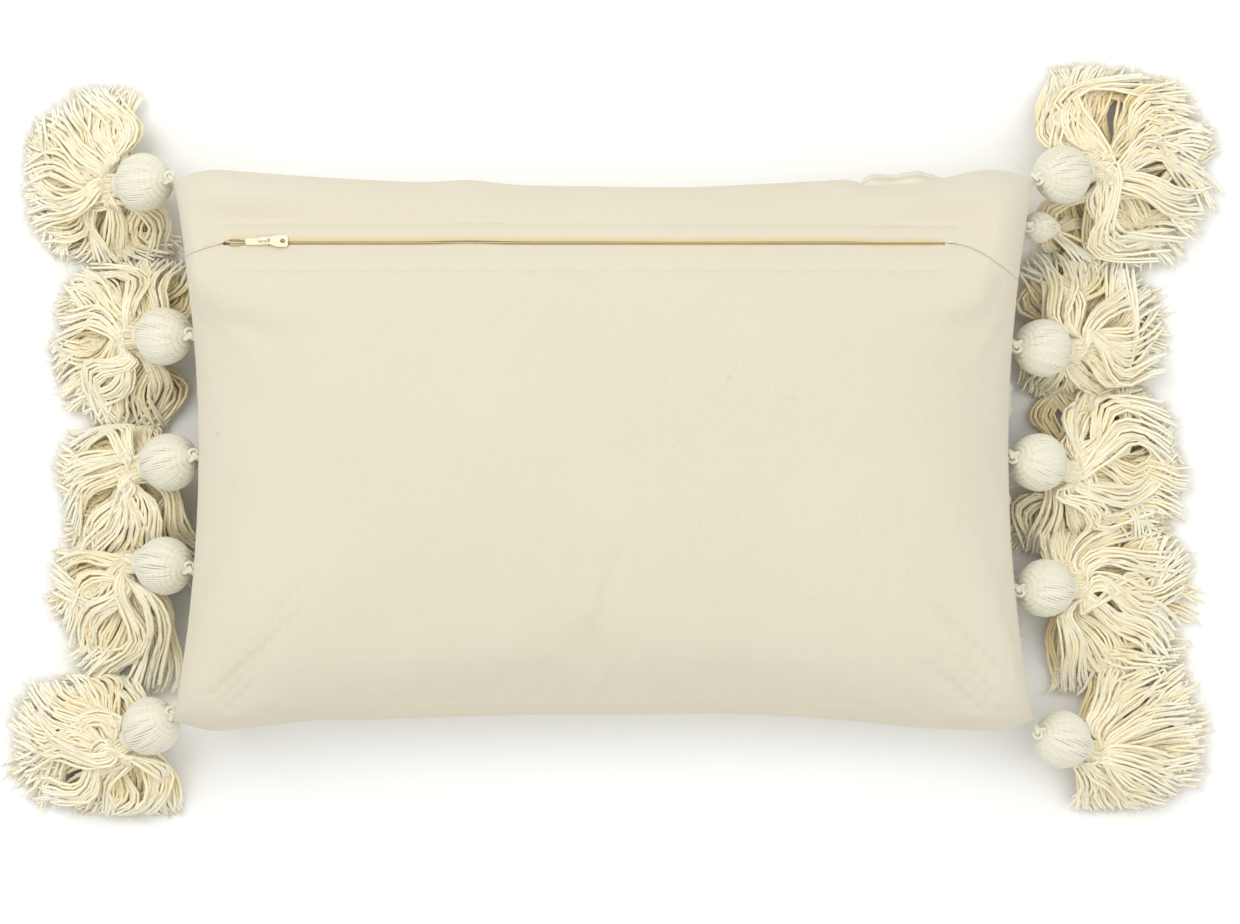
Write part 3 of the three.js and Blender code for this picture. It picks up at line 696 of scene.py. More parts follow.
class Pattern:
    """A Geometry Nodes tree with named inputs for its sizes."""

    sockets = {int: "NodeSocketInt", float: "NodeSocketFloat"}

    def __init__(self, name, **sizes):
        self.tree = bpy.data.node_groups.new(name, "GeometryNodeTree")
        face = self.tree.interface
        face.new_socket("Geometry", in_out="OUTPUT", socket_type="NodeSocketGeometry")
        face.new_socket("Geometry", in_out="INPUT", socket_type="NodeSocketGeometry")
        face.new_socket("Material", in_out="INPUT", socket_type="NodeSocketMaterial")
        for size, default in sizes.items():
            kind = self.sockets[type(default)]
            face.new_socket(size, in_out="INPUT", socket_type=kind).default_value = default
        self.given = self.tree.nodes.new("NodeGroupInput")

    def __getitem__(self, size):
        return self.given.outputs[size]

    def node(self, kind, settings=None, values=(), output=0):
        made = self.tree.nodes.new(kind)
        for name, setting in (settings or {}).items():
            setattr(made, name, setting)
        for socket, value in values.items() if isinstance(values, dict) else enumerate(values):
            if isinstance(value, bpy.types.NodeSocket):
                self.tree.links.new(value, made.inputs[socket])
            elif value is not None:
                made.inputs[socket].default_value = value
        return made.outputs[output]

    def maths(self, operation, *values):
        return self.node("ShaderNodeMath", {"operation": operation}, values)

    def times(self, *values):
        return self.maths("MULTIPLY", *values)

    def vector(self, x=0.0, y=0.0, z=0.0):
        return self.node("ShaderNodeCombineXYZ", None, [x, y, z])

    def share_along(self, output=0):
        return self.node("GeometryNodeSplineParameter", None, (), output)

    def lines(self):
        return self.node("GeometryNodeMeshToCurve", None, {"Mesh": self["Geometry"]})

    def straight(self, start, end, count):
        line = self.node("GeometryNodeCurvePrimitiveLine", None, {"Start": start, "End": end})
        return self.node("GeometryNodeResampleCurve", None, {"Curve": line, "Count": count})

    def circle(self, sides):
        return self.node("GeometryNodeCurvePrimitiveCircle", None, {"Resolution": sides, "Radius": 1.0})

    def swept(self, lines, circle, scale):
        return self.node("GeometryNodeCurveToMesh", None, {
            "Curve": lines, "Profile Curve": circle, "Scale": scale, "Fill Caps": True})

    def repeated(self, points, piece, turn, scale=(1, 1, 1)):
        return self.node("GeometryNodeInstanceOnPoints", None, {
            "Points": points, "Instance": piece, "Rotation": turn, "Scale": scale})

    def keep(self, geometry, name, value, kind="FLOAT"):
        return self.node("GeometryNodeStoreNamedAttribute", {"data_type": kind},
                         {"Geometry": geometry, "Name": name, "Value": value})

    def read(self, name):
        return self.node("GeometryNodeInputNamedAttribute", {"data_type": "FLOAT"}, {"Name": name})

    def finish(self, geometry):
        smooth = self.node("GeometryNodeSetShadeSmooth", None, {"Geometry": geometry})
        real = self.node("GeometryNodeRealizeInstances", None, {"Geometry": smooth})
        dressed = self.node(
            "GeometryNodeSetMaterial", None, {"Geometry": real, "Material": self["Material"]})
        out = self.tree.nodes.new("NodeGroupOutput")
        self.tree.links.new(dressed, out.inputs[0])


def grown(name, guides, pattern, finish, **sizes):
    """The plain mesh that a pattern makes of its guides, which are then removed."""
    modifier = guides.modifiers.new("pattern", "NODES")
    modifier.node_group = pattern.tree
    wanted = {"Material": finish.material, **sizes}
    for item in pattern.tree.interface.items_tree:
        if item.in_out == "INPUT" and item.name in wanted:
            modifier[item.identifier] = wanted[item.name]
    bpy.context.view_layer.update()
    shaped = guides.evaluated_get(bpy.context.evaluated_depsgraph_get())
    mesh = bpy.data.meshes.new_from_object(shaped)
    bpy.data.objects.remove(guides)
    mesh.name = name
    return shown(name, mesh)


# One strand of yarn, wire or thread for each guide, as thick as the guide says.
yarn = Pattern("yarn_along_guides", Sides=6)
yarn_lines = yarn.keep(yarn.lines(), "along", yarn.share_along(1))
yarn_section = yarn.keep(
    yarn.circle(yarn["Sides"]), "round", yarn.node("GeometryNodeInputPosition"), "FLOAT_VECTOR")
yarn.finish(yarn.swept(yarn_lines, yarn_section, yarn.read("girth")))


def wire_finish(name, pale, deep, **settings):
    """Smooth thin stuff, such as nylon wire and sewing thread."""
    finish = Finish(name, **settings)
    place = finish.object_place()
    rubbed = finish.noise(place, 700.0, 3.0)
    finish.feed("Base Color", finish.mix(finish.noise(place, 45.0), pale, deep))
    finish.feed("Roughness", 0.30 + rubbed * 0.22)
    finish.relief(rubbed, 0.00004)
    return finish


coil_finish = wire_finish("zip_coil_nylon", dye(244, 236, 208), dye(236, 224, 188))
filler_finish = wire_finish("zip_filler_cord", dye(236, 216, 170), dye(222, 198, 148))
for side, label in [(1, "upper"), (-1, "lower")]:
    start_x, end_x = zip_left + coil_short, zip_right - coil_short
    turns = round((end_x - start_x) / coil_turn)
    angle = np.linspace(0, 2 * math.pi * turns, turns * 8 + 1) + (0 if side > 0 else math.pi)
    wire_x = start_x + (end_x - start_x) * (angle - angle[0]) / (angle[-1] - angle[0])
    across, over = (np.sign(p) * np.abs(p) ** coil_square for p in (np.cos(angle), np.sin(angle)))
    wire_up = side * ((coil_near + coil_far) / 2 - (coil_far - coil_near) / 2 * across)
    wire_line = on_band(wire_x, wire_up, coil_middle + coil_high * over)
    coil = grown(f"zip_teeth_{label}", yarn_guides("coil_guides", [wire_line], [coil_wire], [1.0]),
                 yarn, coil_finish, Sides=4)
    filler_line = on_band(wire_x[::24], side * filler_up, coil_middle)
    filler = grown(f"zip_filler_{label}", yarn_guides(
        "filler_guides", [filler_line], [filler_radius], [1.0]), yarn, filler_finish, Sides=8)
    for piece in (coil, filler):
        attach(piece, "cover")
    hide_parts(f"zip_coil_{label}")

tape_finish = Finish("zip_tape_weave", Sheen_Weight=0.1)
tape_x, tape_y, _ = tape_finish.parts(tape_finish.object_place())
tape_rib_pitch, tape_pick_pitch = 0.0012, 0.0009
tape_ribs = (tape_x * (2 * math.pi / tape_rib_pitch)).sine() * (
    tape_y * (2 * math.pi / tape_pick_pitch)).sine()
tape_finish.feed("Base Color", tape_finish.mix(
    tape_ribs * 0.3 + 0.5, dye(232, 225, 200), dye(214, 203, 168)))
tape_finish.feed("Roughness", 0.8 + tape_ribs * 0.1)
tape_finish.relief(tape_ribs, 0.0002)
for label in ("upper", "lower"):
    dress(frame["nodes"][f"zip_tape_{label}"], tape_finish)
    dress(frame["nodes"][f"zip_top_stop_{label}"], coil_finish)
dress(frame["nodes"]["zip_bottom_stop"], coil_finish)

# Each stitch is a short length of thread that dips into the cloth at both ends.
stitches = Pattern("stitch_row", Pitch=0.0034, Length=0.0027, Thread=0.00026)
stitch_spots = stitches.node(
    "GeometryNodeCurveToPoints", {"mode": "LENGTH"},
    {"Curve": stitches.lines(), "Length": stitches["Pitch"]})
stitch_half = stitches.times(stitches["Length"], 0.5)
stitch_line = stitches.straight(
    stitches.vector(z=stitches.times(stitch_half, -1.0)), stitches.vector(z=stitch_half), 5)
stitch_arch = stitches.maths("SINE", stitches.times(stitches.share_along(), math.pi))
stitch_girth = stitches.maths("ADD", stitches.times(stitch_arch, 0.55), 0.45)
stitch_shape = stitches.swept(
    stitch_line, stitches.circle(6), stitches.times(stitches["Thread"], stitch_girth))
stitches.finish(stitches.repeated(stitch_spots, stitch_shape, stitch_spots.node.outputs["Rotation"]))


def stitched_line(x, offset, sink):
    """A path on the back, at an offset up the zip's band from the fold, a little into the cloth."""
    side = 1 if offset > 0 else -1
    u = x / half_length(zip_y / half_height(x / half_length(0)))
    fold_y = zip_y + seam_dip(x) + side * slit_half * math.cos(zip_tilt)
    v = (fold_y + offset * math.cos(zip_tilt)) / half_height(u)
    return cover_place(u, v, 1) + band_out * sink


thread_finish = wire_finish("sewing_thread", dye(236, 228, 203), dye(222, 212, 182), Sheen_Weight=0.1)
stitch_sink, stitch_row_points = -0.00042, 160
stitch_paths = [
    stitched_line(np.linspace(first_x, last_x, stitch_row_points), offset, stitch_sink)
    for first_x, last_x, offset in (
        (zip_left + 0.004, 0.210, stitch_up), (zip_left + 0.006, 0.228, -stitch_down))
]
topstitching = grown("zip_topstitching", yarn_guides("stitch_guides", stitch_paths, [1, 1], [1, 1]),
                     stitches, thread_finish)
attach(topstitching, "cover")
# A bar of close stitches holds the right end of the slit, and a few stitches run on past the left end.
bar_past, bar_half, bar_proud = 0.0045, 0.0045, 0.0001
bar_path = on_band(zip_right + bar_past, np.linspace(-bar_half, bar_half, 12), bar_proud)
bars = grown("zip_bar_tack", yarn_guides("bar_guides", [bar_path], [1], [1]), stitches, thread_finish,
             Pitch=0.0008, Length=0.0013, Thread=0.0004)
dash_path = stitched_line(np.linspace(zip_left - 0.0145, zip_left - 0.004, 8), 0.0006, 0.0)
seam_dashes = grown("zip_end_stitches", yarn_guides("dash_guides", [dash_path], [1], [1]),
                    stitches, thread_finish, Pitch=0.0023, Length=0.0015)
for piece in (bars, seam_dashes):
    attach(piece, "cover")

# ---- Slider and pull tab -------------------------------------------------------------------------
# Each is cast in one piece and enamelled cream. The slider's two plates hold the coils between them,
# and the tab swings on the bridge over its top plate.
blade_half, blade_side_low, blade_side_high = 0.00018, 0.0006, 0.0008
enamel = Finish("cream_enamel", Coat_Roughness=0.12, IOR=1.5)
enamel_place = enamel.object_place()
enamel_worn = enamel.noise(enamel_place, 420.0, 4.0)
enamel.feed("Base Color", enamel.mix(
    enamel.noise(enamel_place, 160.0), dye(243, 238, 214), dye(232, 226, 196)))
enamel.feed("Roughness", 0.22 + enamel_worn * 0.18)
enamel.feed("Coat Weight", 0.55 + enamel_worn * 0.2)
enamel.relief(enamel_worn, 0.00003)
for node, edge in (("zip_slider", 0.00034), ("zip_pull_tab", 0.0004)):
    cast = shown(f"{node}_casting", frame["nodes"][node].data.copy())
    if node == "zip_slider":
        # The blade between the plates is thin enough to run between the teeth.
        for vertex in cast.data.vertices:
            up = float(np.dot(np.array(vertex.co) - zip_origin, band_up))
            if blade_side_low < abs(up) < blade_side_high:
                vertex.co += Vector(band_up * (math.copysign(blade_half, up) - up))
    welded = cast.modifiers.new("welded", "WELD")
    welded.merge_threshold = 0.00002
    flattened = cast.modifiers.new("flattened", "DECIMATE")
    flattened.decimate_type = "DISSOLVE"
    flattened.angle_limit = math.radians(3)
    rounded = cast.modifiers.new("rounded", "BEVEL")
    rounded.width = edge
    rounded.segments = 3
    rounded.limit_method = "ANGLE"
    rounded.angle_limit = math.radians(38)
    bpy.context.view_layer.update()
    shaped = cast.evaluated_get(bpy.context.evaluated_depsgraph_get())
    mesh = bpy.data.meshes.new_from_object(shaped)
    cast.modifiers.clear()
    cast.data = mesh
    soften(mesh, 40)
    dress(cast, enamel)
    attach(cast, node)
    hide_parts(node)

# ---- Tassels -------------------------------------------------------------------------------------
# Five hand-tied tassels of soft cotton yarn hang from each short seam, and a small one is tucked in
# beside the top right one. Each is a hank tied in its middle by a knot at the seam, folded over into
# a ball, bound round the neck and cut at the ends, which fray.


def catmull(points, steps):
    """A smooth line through points, shaped (..., points, 3), with steps places for each stretch."""
    first = 2 * points[..., :1, :] - points[..., 1:2, :]
    last = 2 * points[..., -1:, :] - points[..., -2:-1, :]
    full = np.concatenate([first, points, last], -2)
    made = []
    for k in range(points.shape[-2] - 1):
        a, b, c, d = (full[..., k + n, :] for n in range(4))
        for t in np.arange(steps) / steps:
            made.append(0.5 * (2 * b + (c - a) * t + (2 * a - 5 * b + 4 * c - d) * t * t
                               + (3 * b - a - 3 * c + d) * t**3))
    made.append(points[..., -1, :])
    return np.stack(made, -2)


# At each cut end the yarn opens into fine fibres, which spread and curl.
fray = Pattern("frayed_ends", **{
    "Fibres": 4, "Fibre length": 0.0062, "Fibre radius": 0.00017, "Spread": 0.5, "Seed": 1})
fray_turn = fray.node("FunctionNodeAxesToRotation", {"primary_axis": "Z", "secondary_axis": "X"}, {
    "Primary Axis": fray.node("GeometryNodeInputTangent"),
    "Secondary Axis": fray.node("GeometryNodeInputNormal")})
fray_lines = fray.keep(fray.lines(), "turn", fray_turn, "QUATERNION")
fray_lines = fray.keep(fray_lines, "is_end", fray.node(
    "GeometryNodeCurveEndpointSelection", None, {"Start Size": 0, "End Size": 1}))
fray_many = fray.node("GeometryNodeDuplicateElements", {"domain": "POINT"}, {
    "Geometry": fray.node("GeometryNodeCurveToPoints", {"mode": "EVALUATED"}, {"Curve": fray_lines}),
    "Selection": fray.maths("GREATER_THAN", fray.read("is_end"), 0.5),
    "Amount": fray["Fibres"]})
fray_share = fray.share_along()
fray_bent = fray.times(fray.maths("POWER", fray_share, 2.0), 0.45)
fray_hair = fray.node("GeometryNodeSetPosition", None, {
    "Geometry": fray.straight((0, 0, -0.08), (0, 0, 1), 4), "Offset": fray.vector(fray_bent)})
fray_thin = fray.maths("SUBTRACT", 1.0, fray.times(fray_share, 0.7))
fray_slender = fray.maths("DIVIDE", fray["Fibre radius"], fray["Fibre length"])
fray_hair = fray.swept(fray_hair, fray.circle(3), fray.times(fray_thin, fray_slender))
fray_tilt = fray.node("ShaderNodeVectorMath", {"operation": "MULTIPLY"}, [
    fray.node("FunctionNodeRandomValue", {"data_type": "FLOAT_VECTOR"}, {
        0: (-1, -1, -3.1), 1: (1, 1, 3.1), "Seed": fray["Seed"]}),
    fray.vector(fray["Spread"], fray["Spread"], 1.0)])
fray_rotation = fray.node("FunctionNodeRotateRotation", {"rotation_space": "LOCAL"}, {
    "Rotation": fray.node("GeometryNodeInputNamedAttribute", {"data_type": "QUATERNION"}, {"Name": "turn"}),
    "Rotate By": fray.node("FunctionNodeEulerToRotation", None, [fray_tilt])})
fray_size = fray.times(fray["Fibre length"], fray.node(
    "FunctionNodeRandomValue", None, {2: 0.45, 3: 1.25, "Seed": 7}, 1))
fray.finish(fray.repeated(fray_many, fray_hair, fray_rotation, fray.vector(*[fray_size] * 3)))


def yarn_finish(name, pale, deep, painted_shade, tip, ply_turn, ply_depth, **settings):
    """Soft cotton yarn: plied, with painted warm shade where it lies hidden and painted shade in its ply's
    grooves, paler where it is cut.
    """
    finish = Finish(name, **settings)
    shade = finish.attribute("shade")
    place = finish.object_place()
    side, up, _ = finish.parts(finish.attribute("round", 1))
    angle = up.maths("ARCTAN2", up, side)
    ply = (angle * 2 + finish.attribute("along") * (2 * math.pi / ply_turn)).sine()
    fibre = finish.noise(place, 1900.0, 3.0)
    body = finish.mix(finish.noise(place, 90.0), pale, deep)
    # Painted shade: a low shade attribute turns the yarn towards the warm painted shade colour.
    shaded = finish.mix(finish.node("ShaderNodeClamp", None, [shade]), painted_shade, body)
    tipped = finish.mix(finish.node("ShaderNodeClamp", None, [shade - 1]), shaded, tip)
    # Painted shade in the ply's grooves: the colour darkens a little towards the deep colour where the
    # twist's bump is low.
    finish.feed("Base Color", finish.mix((1 - ply) * 0.09, tipped, deep))
    finish.feed("Roughness", 0.72 + fibre * 0.2)
    finish.relief(ply + fibre * 0.5, ply_depth)
    return finish


ply_depth = 0.00008
yarn_sheen = {"Sheen_Weight": 0.2, "Sheen_Roughness": 0.45}
# The third colour is painted shade: a warm deep yellow for yarn low in the skirt and near the neck.
strand_finish = yarn_finish(
    "tassel_yarn", dye(255, 251, 232), dye(249, 235, 194), dye(243, 219, 160), dye(255, 253, 238),
    0.0045, ply_depth, Subsurface_Weight=0.35, Subsurface_Scale=0.0015,
    Subsurface_Radius=(1.0, 0.98, 0.92), **yarn_sheen)
head_finish = yarn_finish(
    "tassel_head_yarn", dye(237, 235, 219), dye(230, 226, 205), dye(230, 226, 205), dye(243, 242, 230),
    0.004, ply_depth, **yarn_sheen)

core_finish = Finish("tassel_core_yarn", **yarn_sheen)
core_fibre = core_finish.noise(core_finish.object_place(), 900.0, 3.0)
core_finish.feed("Base Color", core_finish.mix(core_fibre, dye(235, 232, 215), dye(226, 221, 198)))
core_finish.feed("Roughness", 0.78 + core_fibre * 0.15)
core_finish.relief(core_fibre, 0.0001)

droop, tucked_fall = math.asin(0.025 / 0.046), math.radians(50)
ball_and_neck, tucked_ball_and_neck = (0.020, 0.008), (0.011, 0.005)
tie_length, binding_height = 0.006, 0.004
strand_radius = 0.00120
# The yarn on a ball, its winding round the neck, and the two ends of the cord that runs through both.
wrap_inset, wrap_wobble, wrap_ripple, wrap_thin, wrap_thick = 0.0006, 0.006, 0.0005, 0.00042, 0.00056
wind_out_from, wind_ripple, wind_start, wind_short, wind_overlap = 0.0014, 0.0003, 0.0006, 0.0008, 0.0002
cord_back, cord_on, cord_beside, cord_above, cord_radii = 0.0035, 0.006, 0.0016, 0.0008, (0.0013, 0.0012)
# How each tassel was tied and combed out: its turn in plan (degrees), how far out its skirt reaches,
# where along the seam it begins and ends, how far round it fans each way (degrees), how much its yarn
# curls, and how many locks it has.
tassel_habits = {
    "left_1": (-4, 0.411, 0.130, 0.262, 125, 100, 1.15, 44),
    "left_2": (0, 0.391, 0.012, 0.140, 100, 128, 1.0, 42),
    "left_3": (-12, 0.388, -0.104, 0.020, 118, 84, 0.9, 40),
    "left_4": (6, 0.391, -0.174, -0.070, 104, 70, 0.9, 36),
    "left_5": (-31, 0.422, -0.262, -0.158, 98, 92, 1.15, 42),
    "right_1": (10, 0.434, 0.124, 0.276, 104, 112, 1.2, 46),
    "right_2": (-4, 0.400, 0.036, 0.143, 128, 122, 1.0, 42),
    "right_3": (-14, 0.413, -0.077, 0.048, 118, 90, 1.0, 44),
    "right_4": (0, 0.417, -0.176, -0.046, 98, 116, 1.0, 44),
    "right_5": (-21, 0.427, -0.258, -0.146, 78, 86, 0.35, 40),
    "right_tucked": (0, 0.352, 0.140, 0.172, 60, 60, 0.5, 7),
}
back_reach = 0.040  # how far a lock may turn back towards the pillow
reach_power, least_room = 2.6, 0.012  # a skirt's outline is rounded between its reach and its two ends
rim_share, rim_flare, gather_along, gather_lift = 0.86, 1.35, 0.0085, 0.003
flank_gap, ball_gap, table_gap = 0.003, 0.0021, 0.0002
# Each lock's height near the neck, further on and at its end: in the lowest layer, and how much more
# in the top one. Then how far along it those places are, and how far its course strays there.
lie_low, lie_gain = np.array([0.016, 0.008, 0.003]), np.array([0.031, 0.026, 0.012])
lie_back = np.array([0.012, 0, 0])
lie_stretch, lie_stray = np.array([0.26, 0.62, 1.0]), np.array([1.0, 0.7, 0.25])
# A lock's half width and half depth at its five places, from the binding to the cut ends.
lock_width = np.array([0.0, 0.0012, 0.0050, 0.0080, 0.0100])
lock_depth = np.array([0.0, 0.0010, 0.0022, 0.0024, 0.0016])
wave_across, wave_up, strand_stray, stretch_stop = 0.0027, 0.0020, 0.00035, 14


def flank_limit(y, z):
    """How far out a yarn has to be at this height to clear the pillow's side."""
    v = np.clip(y / half_height(1.0), -1, 1)
    crown = np.clip((seam_height - z) / (seam_height * (1 + rest_squash)), 0, 1)
    u = np.clip(1 - crown ** (1 / end_fall), 0, 1) ** (1 / (fall_along + fall_along_gain * v * v))
    clear = np.where(z > seam_height, 1.0, u) * half_length(v) + flank_gap
    return np.where(np.abs(y) < half_height(1.0), clear, 0)


def hang(label):
    """Where a tassel hangs from, which way, and the sizes of its ball and neck."""
    seat = np.array(next(j["pos_m"] for j in frame["joints"] if j["name"] == f"tassel_{label}_swing"))
    small = label == "right_tucked"
    fall = tucked_fall if small else droop
    turn = math.radians(tassel_habits[label][0])
    side = -1 if label.startswith("left") else 1
    flat = math.cos(fall)
    axis = np.array([side * flat * math.cos(turn), flat * math.sin(turn), -math.sin(fall)])
    return seat, axis, *(tucked_ball_and_neck if small else ball_and_neck)


def round_axis(centre, axes, along, out, angle):
    """Points round an axis, given how far along it, how far out from it and at which angle."""
    axis, beside, above = axes
    return (centre + axis * along[:, None] + beside * (out * np.cos(angle))[:, None]
            + above * (out * np.sin(angle))[:, None])


ball_centres = {}
for label in tassel_habits:
    seat, axis, ball_radius, _ = hang(label)
    ball_centres[label] = (seat + axis * (tie_length + ball_radius), ball_radius)

for number, (label, habit) in enumerate(tassel_habits.items()):
    turn_degrees, reach_x, low_y, high_y, fan_down, fan_up, curl, lock_count = habit
    tassel = f"tassel_{label}"
    draw = np.random.default_rng(100 + number)
    small = label == "right_tucked"
    side = -1 if label.startswith("left") else 1
    seat, axis, ball_radius, neck_radius = hang(label)
    turn = math.radians(turn_degrees)
    beside = np.cross([0, 0, 1.0], axis)
    beside /= np.linalg.norm(beside)
    above = np.cross(axis, beside)
    axes = (axis, beside, above)
    ball, _ = ball_centres[label]
    neck_at = tie_length + ball_radius + math.sqrt(ball_radius**2 - neck_radius**2)

    # The ball: yarn laid from the knot to the neck, side by side all round.
    laid = 48 if small else 84
    profile = np.linspace(-math.pi / 2 + 0.10, math.acos(neck_radius / ball_radius), 15)
    meridians, girths, shades = [], [], []
    sway = draw.uniform(-0.16, 0.16)
    for k in range(laid):
        turned = 2 * math.pi * (k + draw.uniform(-0.18, 0.18)) / laid
        angles = turned + sway * np.sin(profile) + 0.035 * np.sin(profile * 3 + k)
        out = (ball_radius - wrap_inset) * np.cos(profile) * (1 + wrap_wobble * draw.normal())
        out = out + wrap_ripple * np.sin(angles * 3 + number) * np.cos(profile)
        meridians.append(round_axis(ball, axes, ball_radius * np.sin(profile), out, angles))
        girths.append(wrap_thin + wrap_thick * np.cos(profile) * ball_radius / ball_and_neck[0])
        shades.append(draw.uniform(0.75, 1.0))
    head = grown(f"{tassel}_ball", yarn_guides("ball_guides", meridians, girths, shades),
                 yarn, head_finish, Sides=5)
    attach(head, tassel)
    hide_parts(f"{tassel}_head")
    core_rings, core_sides = 14, 28
    core_profile = np.linspace(-math.pi / 2, math.acos(neck_radius / ball_radius), core_rings)
    core_out = (ball_radius - wrap_inset) * np.cos(core_profile)
    core_high = (ball_radius - wrap_inset) * np.sin(core_profile)
    core_turns = np.linspace(0, 2 * math.pi, core_sides, endpoint=False)
    core_points = [ball + axis * core_high[0]]
    for radius, height in zip(core_out[1:], core_high[1:]):
        core_points += list(round_axis(ball, axes, np.full(core_sides, height), radius, core_turns))
    core_points.append(ball + axis * core_high[-1])
    core_round = [(k, (k + 1) % core_sides) for k in range(core_sides)]
    core_faces = [(0, 1 + after, 1 + k) for k, after in core_round]
    for ring in range(core_rings - 2):
        low = 1 + ring * core_sides
        high = low + core_sides
        core_faces += [(low + k, low + after, high + after, high + k) for k, after in core_round]
    last = 1 + (core_rings - 2) * core_sides
    core_faces += [(len(core_points) - 1, last + k, last + after) for k, after in core_round]
    core = new_piece(f"{tassel}_core", core_points, core_faces)
    soften(core.data)
    dress(core, core_finish)
    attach(core, tassel)

    # The binding: yarn wound three or four times round the neck.
    winds, wind_points = (3, 40) if small else (4, 72)
    wound = np.linspace(0, 2 * math.pi * winds, wind_points)
    wind_radius = binding_height / winds / 2 * 0.98
    wind_out = neck_radius + wind_out_from + wind_ripple * np.sin(wound * 1.7 + number)
    wind_along = neck_at + wind_start + (binding_height - wind_short) * wound / wound[-1]
    winding = round_axis(seat, axes, wind_along, wind_out, wound)
    binding = grown(f"{tassel}_winding", yarn_guides(
        "winding_guides", [winding], [wind_radius + wind_overlap], [0.9]), yarn, head_finish, Sides=8)
    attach(binding, tassel)
    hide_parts(f"{tassel}_binding")

    # The knot: one turn of cord through the seam, tied on itself.
    knotted = np.linspace(0, 2 * math.pi, 49)
    knot_size = 0.00125 if small else 0.0015
    knot = np.stack([
        np.sin(knotted) + 2 * np.sin(2 * knotted),
        np.cos(knotted) - 2 * np.cos(2 * knotted),
        -1.5 * np.sin(3 * knotted)], -1) * knot_size
    knot_middle = seat + axis * tie_length * 0.5
    knot_line = knot_middle + sum(knot[:, k:k + 1] * way for k, way in enumerate(axes))
    one_cord = np.stack([knot_middle - axis * cord_back, knot_middle, knot_middle + axis * cord_on])
    other_cord = one_cord + beside * cord_beside + above * cord_above
    tie = grown(f"{tassel}_knot", yarn_guides(
        "knot_guides", [knot_line, one_cord, other_cord], [knot_size * 0.85, *cord_radii],
        [0.8, 0.7, 0.7]), yarn, head_finish, Sides=8)
    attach(tie, tassel)
    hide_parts(f"{tassel}_tie")

    # The skirt: locks of yarn from under the binding, which fall to the table and fan out.
    start = seat + axis * (neck_at + binding_height * 0.4)
    middle_y, half_y = (low_y + high_y) / 2, (high_y - low_y) / 2
    bulk = 0.45 if small else 1.0
    per_lock = 12 if small else 13
    layers = np.linspace(0, 1, lock_count)
    bearings = np.linspace(-1, 1, lock_count)
    draw.shuffle(bearings)
    lines, girths, shades = [], [], []
    for layer, bearing in zip(layers, bearings):
        fan = math.radians(fan_up if bearing > 0 else fan_down)
        heading = turn * 0.5 + fan * bearing * (1 - 0.12 * layer)
        backward = max(0.0, abs(heading) - math.pi / 2)
        room_x = reach_x - abs(start[0]) if backward == 0 else back_reach * bulk
        room_y = high_y - start[1] if heading > 0 else start[1] - low_y
        far_x = abs(math.cos(heading)) / room_x
        far_y = abs(math.sin(heading)) / max(room_y, least_room)
        far = (far_x**reach_power + far_y**reach_power) ** (-1 / reach_power)
        far *= draw.uniform(0.95, 1.06) * (1 - 0.08 * layer)
        bends = draw.normal(0, (0.28 + 0.16 * layer) * curl, 3)
        end_lift = np.array([1, 1, draw.uniform(0.4, 1.0)])
        heights = bulk * (lie_low + lie_gain * layer * end_lift - lie_back * min(backward, 1))
        stretch = lie_stretch * far
        aims = heading + bends * lie_stray
        width = bulk * draw.uniform(0.8, 1.2) * lock_width
        deep = bulk * lock_depth
        ways = np.linspace(-1, 1, per_lock) + draw.normal(0, 0.12, per_lock)
        ups = draw.uniform(-1, 1, per_lock)
        ends = draw.uniform(0.88, 1.05, per_lock)
        phase, cycles = draw.uniform(0, 6.28), far / draw.uniform(0.030, 0.046)
        controls = np.zeros((per_lock, 5, 3))
        ring = neck_radius * rim_share
        out_across = np.clip(math.sin(heading) * side * 0.8 + ways * 0.25, -1, 1)
        out_above = (2 * layer - 1) * 0.7 + ups * 0.2
        rim = beside * (out_across * ring)[:, None] + above * (out_above * ring)[:, None]
        controls[:, 0] = start + rim
        controls[:, 1] = (start + rim * rim_flare + axis * gather_along * bulk
                          + above * gather_lift * layer * bulk)
        for k in range(3):
            toward = np.array([side * math.cos(aims[k]), math.sin(aims[k]), 0])
            aside = np.array([-toward[1], toward[0], 0])
            reach_k = ends if k == 2 else np.ones(per_lock)
            controls[:, 2 + k] = (start * [1, 1, 0] + toward * (stretch[k] * reach_k)[:, None]
                                  + aside * (ways * width[2 + k])[:, None])
            controls[:, 2 + k, 2] = heights[k] + ups * deep[2 + k]
        paths = catmull(controls, 4)
        share = np.linspace(0, 1, paths.shape[1])
        lean = np.gradient(paths, axis=1)
        lean[..., 2] = 0
        lean /= np.linalg.norm(lean, axis=-1, keepdims=True) + 1e-9
        aside = np.stack([-lean[..., 1], lean[..., 0], np.zeros(lean.shape[:2])], -1)
        own_phase = draw.normal(0, 0.35, per_lock)[:, None]
        wave = np.sin(2 * math.pi * share[None, :] * cycles + phase + own_phase)
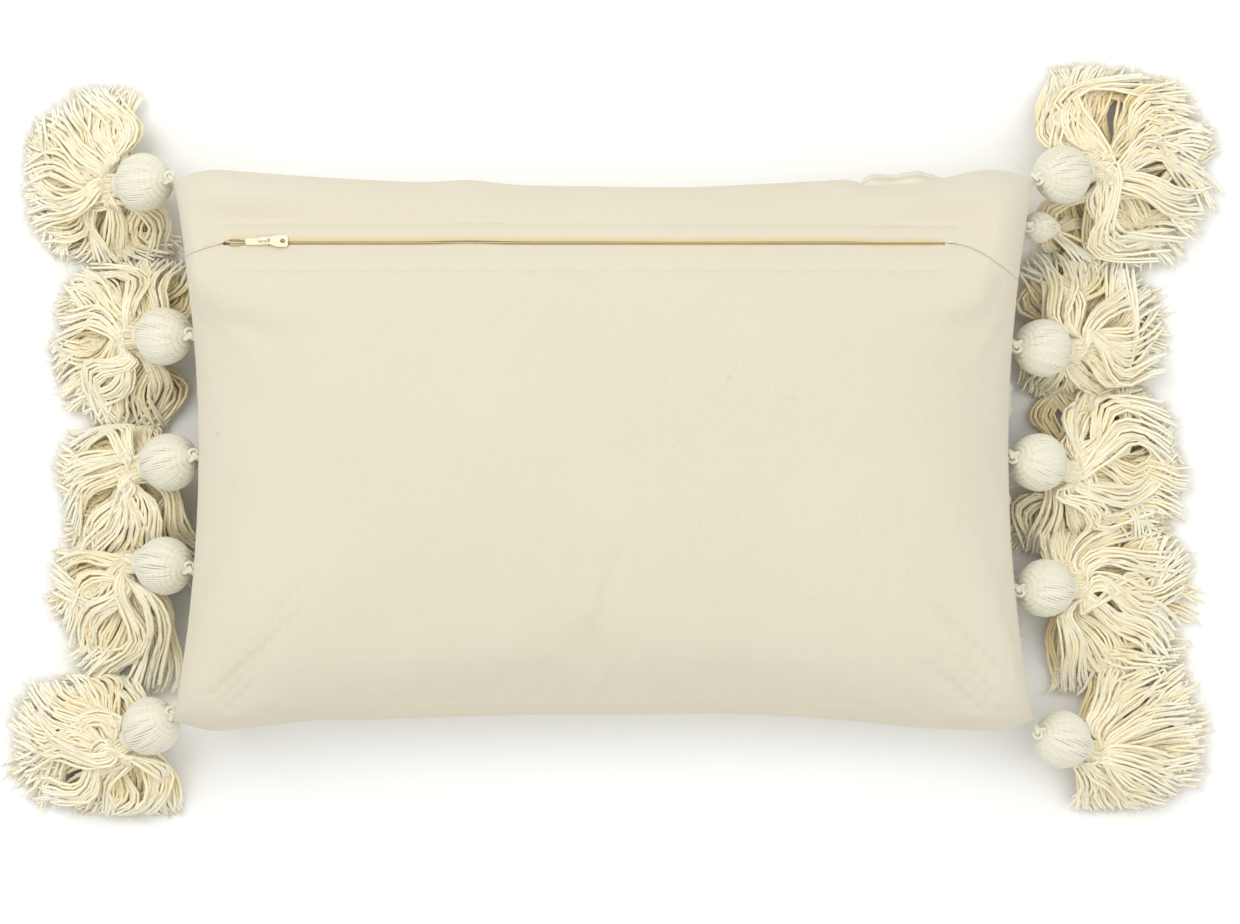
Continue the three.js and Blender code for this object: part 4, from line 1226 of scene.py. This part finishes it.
        lift = np.cos(2 * math.pi * share[None, :] * cycles * 0.8 + phase)
        swell = np.clip((share - 0.2) / 0.4, 0, 1)[None, :] * bulk
        paths += aside * (wave * swell * wave_across * curl)[..., None]
        paths[..., 2] += lift * swell * wave_up * curl
        paths += draw.normal(0, strand_stray, paths.shape) * swell[..., None]
        # Nothing passes through a ball, the table or the pillow's side, and each tassel keeps to its own
        # stretch of the seam.
        for other, (centre, radius) in ball_centres.items():
            from_ball = paths - centre
            distance = np.linalg.norm(from_ball, axis=-1, keepdims=True)
            pushed = centre + from_ball / distance * np.maximum(distance, radius + ball_gap)
            keep = np.clip((share - 0.22) / 0.1, 0, 1)[None, :, None] if other == label else 1
            paths = paths + (pushed - paths) * keep
        paths[..., 2] = np.maximum(paths[..., 2], strand_radius * 1.1)
        limit = flank_limit(paths[..., 1], paths[..., 2])
        paths[..., 0] = side * np.maximum(side * paths[..., 0], limit)
        far_y = (paths[..., 1] - middle_y) / (half_y - strand_radius)
        held_y = far_y / (1 + np.abs(far_y) ** stretch_stop) ** (1 / stretch_stop)
        paths[..., 1] = middle_y + (half_y - strand_radius) * held_y
        # Painted shade: the lower layers, and every strand near the neck, get a lower shade and so the warm
        # painted shade colour. The shade also varies at random from strand to strand, and it rises past 1
        # towards the pale cut ends.
        tone = 0.25 + 0.75 * layer + draw.normal(0, 0.10, per_lock)
        thinning = 1 - 0.18 * np.clip((share - 0.9) / 0.1, 0, 1)
        for k in range(per_lock):
            lines.append(paths[k])
            girths.append(strand_radius * draw.uniform(0.88, 1.12) * thinning)
            shades.append(np.clip(tone[k] * (0.6 + 0.4 * smooth_step(share, 0.02, 0.35)), 0, 1)
                          + 0.9 * smooth_step(share, 0.80, 1.0))
    guides = yarn_guides("skirt_guides", lines, girths, shades)
    frays = shown("fray_guides", guides.data.copy())
    strands = grown(f"{tassel}_strands", guides, yarn, strand_finish, Sides=5)
    tufts = grown(f"{tassel}_fibres", frays, fray, strand_finish, Seed=number)
    for vertex in tufts.data.vertices:
        vertex.co.z = max(vertex.co.z, table_gap)
    for piece in (strands, tufts):
        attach(piece, tassel)
    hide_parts(f"{tassel}_skirt")
